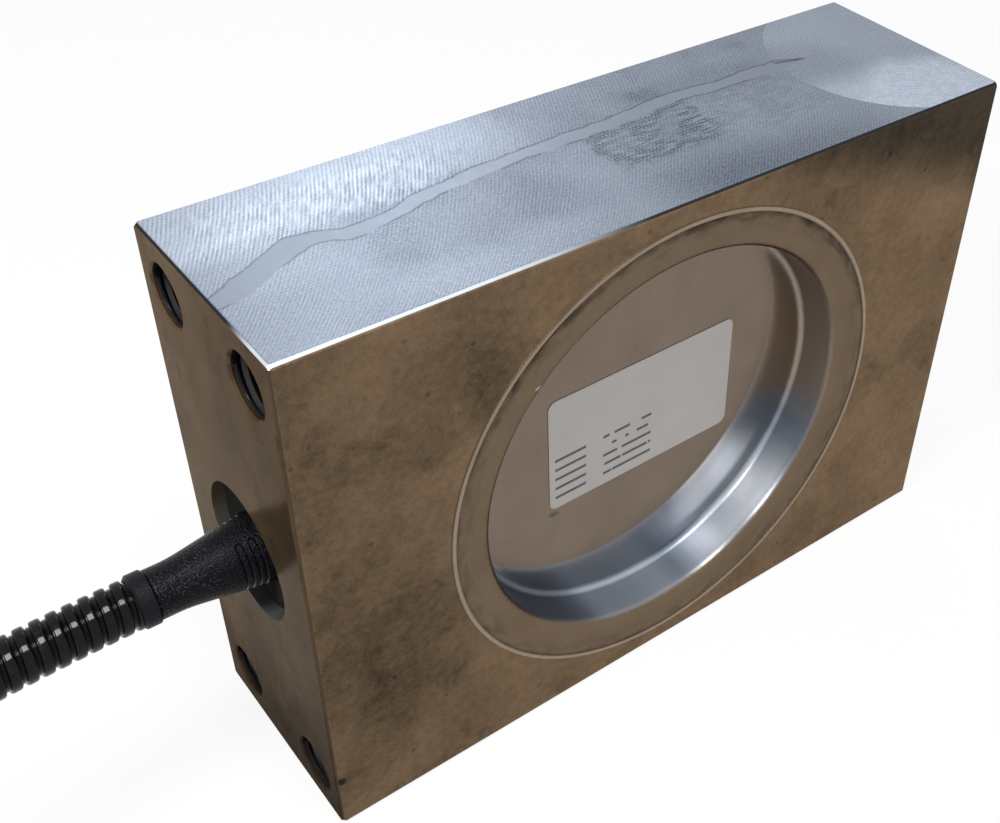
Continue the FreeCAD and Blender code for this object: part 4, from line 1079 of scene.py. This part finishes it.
# Black rubbers and plastics: colour, roughness, gloss, grain and relief in millimetres, share of painted glint
# specks, and CAD pieces.
BLACKS = {
    "gland_black": ((34, 35, 33), 0.6, 0.0, 0.35, 0.05, 0.3, "gland_body"),
    "collar_black": ((15, 16, 20), 0.4, 0.1, 0.3, 0.04, 0.15, "hose_collar plug_collar"),
    "seal_rubber": ((24, 24, 24), 0.6, 0.3, 0.4, 0.01, 0, "gland_ring cable_seal"),
    "plug_black": ((30, 30, 32), 0.42, 0.4, 0.3, 0.03, 0, "plug_boot plug_body"),
    "insert_black": ((26, 26, 26), 0.5, 0.4, 0.3, 0.01, 0, "plug_insert"),
    "chip_black": ((28, 28, 30), 0.45, 0.4, 0.3, 0.01, 0, "board_chip"),
}
# Plain materials: colour, roughness, metallic, and CAD pieces.
PLAINS = {
    "core_jacket": ((70, 72, 76), 0.5, 0, "cable_core"),
    "beam_steel": ((168, 170, 174), 0.32, 1, "sensing_beam"),
    "screw_steel": ((120, 122, 126), 0.3, 1, "beam_screws board_screws"),
    "gauge_film": ((186, 142, 64), 0.35, 0.1, "strain_gauges"),
    "board_laminate": ((28, 92, 54), 0.4, 0, "bridge_board"),
    "post_brass": ((196, 160, 84), 0.3, 1, "board_posts"),
    "plug_nickel": ((176, 174, 168), 0.22, 1, "plug_shell plug_ring"),
    "pin_gold": ((222, 184, 96), 0.2, 1, "plug_pins"),
}
PLAIN_GRAIN = 0.6
PLAIN_RELIEF = 0.01


def shades(colour, darker, lighter):
    """A darker and a lighter shade of a screen colour."""
    return tuple(c * darker for c in colour), tuple(min(255, c * lighter) for c in colour)


def black_stuff(name, colour, roughness, gloss, grain, relief, glint_specks):
    """Black rubber or plastic with a fine moulded grain that catches the light in points, and light specks
    painted in as its glints.
    """
    black = Surface(name, gloss=gloss)
    fine = black.noise(grain, 2, seed=71)
    cloud = black.noise(grain * 25, 3, seed=72)
    paint = black.mix(*shades(colour, 0.7, 1.3), 0.5 + (fine - 0.5) * 0.5 + (cloud - 0.5) * 0.4)
    # Painted highlight: light specks stand for glints of the grain.
    points = black.specks(grain * 1.3, 0.36, seed=9)
    paint = black.mix(paint, (78, 82, 93), points * (0.2 + cloud.rise(0.42, 0.66) * 0.8) * glint_specks)
    black.emboss(fine.rise(0.35, 0.75), relief)
    return black.finish(paint, roughness + (cloud - 0.5) * 0.1)


def plain_stuff(name, colour, roughness, metallic):
    """A simple material with slight clouds, fine grain and uneven gloss."""
    surface = Surface(name, metallic=metallic, gloss=0.4)
    cloud = surface.noise(PLAIN_GRAIN * 12, 3, seed=81)
    fine = surface.noise(PLAIN_GRAIN, 2, seed=82)
    paint = surface.mix(*shades(colour, 0.82, 1.14), 0.5 + (cloud - 0.5) * 0.6 + (fine - 0.5) * 0.3)
    surface.emboss(fine, PLAIN_RELIEF)
    return surface.finish(paint, roughness + (cloud - 0.5) * 0.15)


def hose_material():
    """Glossy jacket: nearly black, with lighter and duller scuffs."""
    jacket = Surface("hose_black", gloss=0.17)
    scuff = jacket.noise(1.5, 4, seed=73)
    fine = jacket.noise(0.35, 2, seed=74)
    colour = jacket.mix((5, 5, 6), (18, 18, 21), scuff.rise(0.5, 0.8))
    jacket.emboss(scuff, 0.03)
    return jacket.finish(colour, 0.09 + scuff.rise(0.55, 0.7) * 0.12 + (fine - 0.5) * 0.04)


def wire_jackets():
    """Four wires: red and green above, white and black below."""
    jacket = Surface("wire_jacket")
    fine = jacket.noise(0.5, 2, seed=83)
    above = (jacket.z - HALF_HEIGHT).rise(-0.05, 0.05)
    ahead = (jacket.y + jacket.x * 0.2).rise(-8.1, -8.0)
    upper = jacket.mix((168, 30, 26), (30, 110, 56), ahead)
    lower = jacket.mix((220, 218, 210), (26, 26, 28), ahead)
    jacket.emboss(fine, 0.01)
    return jacket.finish(jacket.mix(lower, upper, above), 0.42)


def dress(material, *nodes):
    """Gives CAD nodes a material instead of their own."""
    for node in nodes:
        mesh = NODES[node].data
        mesh.materials.clear()
        mesh.materials.append(material)


def dress_nodes():
    """A material of its own kind for every CAD piece that stays."""
    dress(body_steel(), "load_cell_body")
    dress(label_foil(), "type_label")
    for make, table in ((black_stuff, BLACKS), (plain_stuff, PLAINS)):
        for name, (*looks, nodes) in table.items():
            dress(make(name, *looks), *nodes.split())
    dress(wire_jackets(), "signal_wires")


def dress_covers():
    """A drawn cup and its weld on the front and the rear."""
    sheet, weld = cover_steel(), weld_steel()
    for place, side in (("front", -1), ("rear", 1)):
        make_cup(f"{place}_drawn_cup", f"{place}_cover_cup", side, sheet)
        make_bead(f"{place}_rippled_weld", f"{place}_weld_bead", side, weld)


make_camera()
make_light()
make_floor()
make_hose()
make_boot(black_stuff("boot_rubber", (6, 7, 11), 0.31, 0.1, 0.4, 0.07, 0.42))
dress_covers()
make_threads()
dress_nodes()
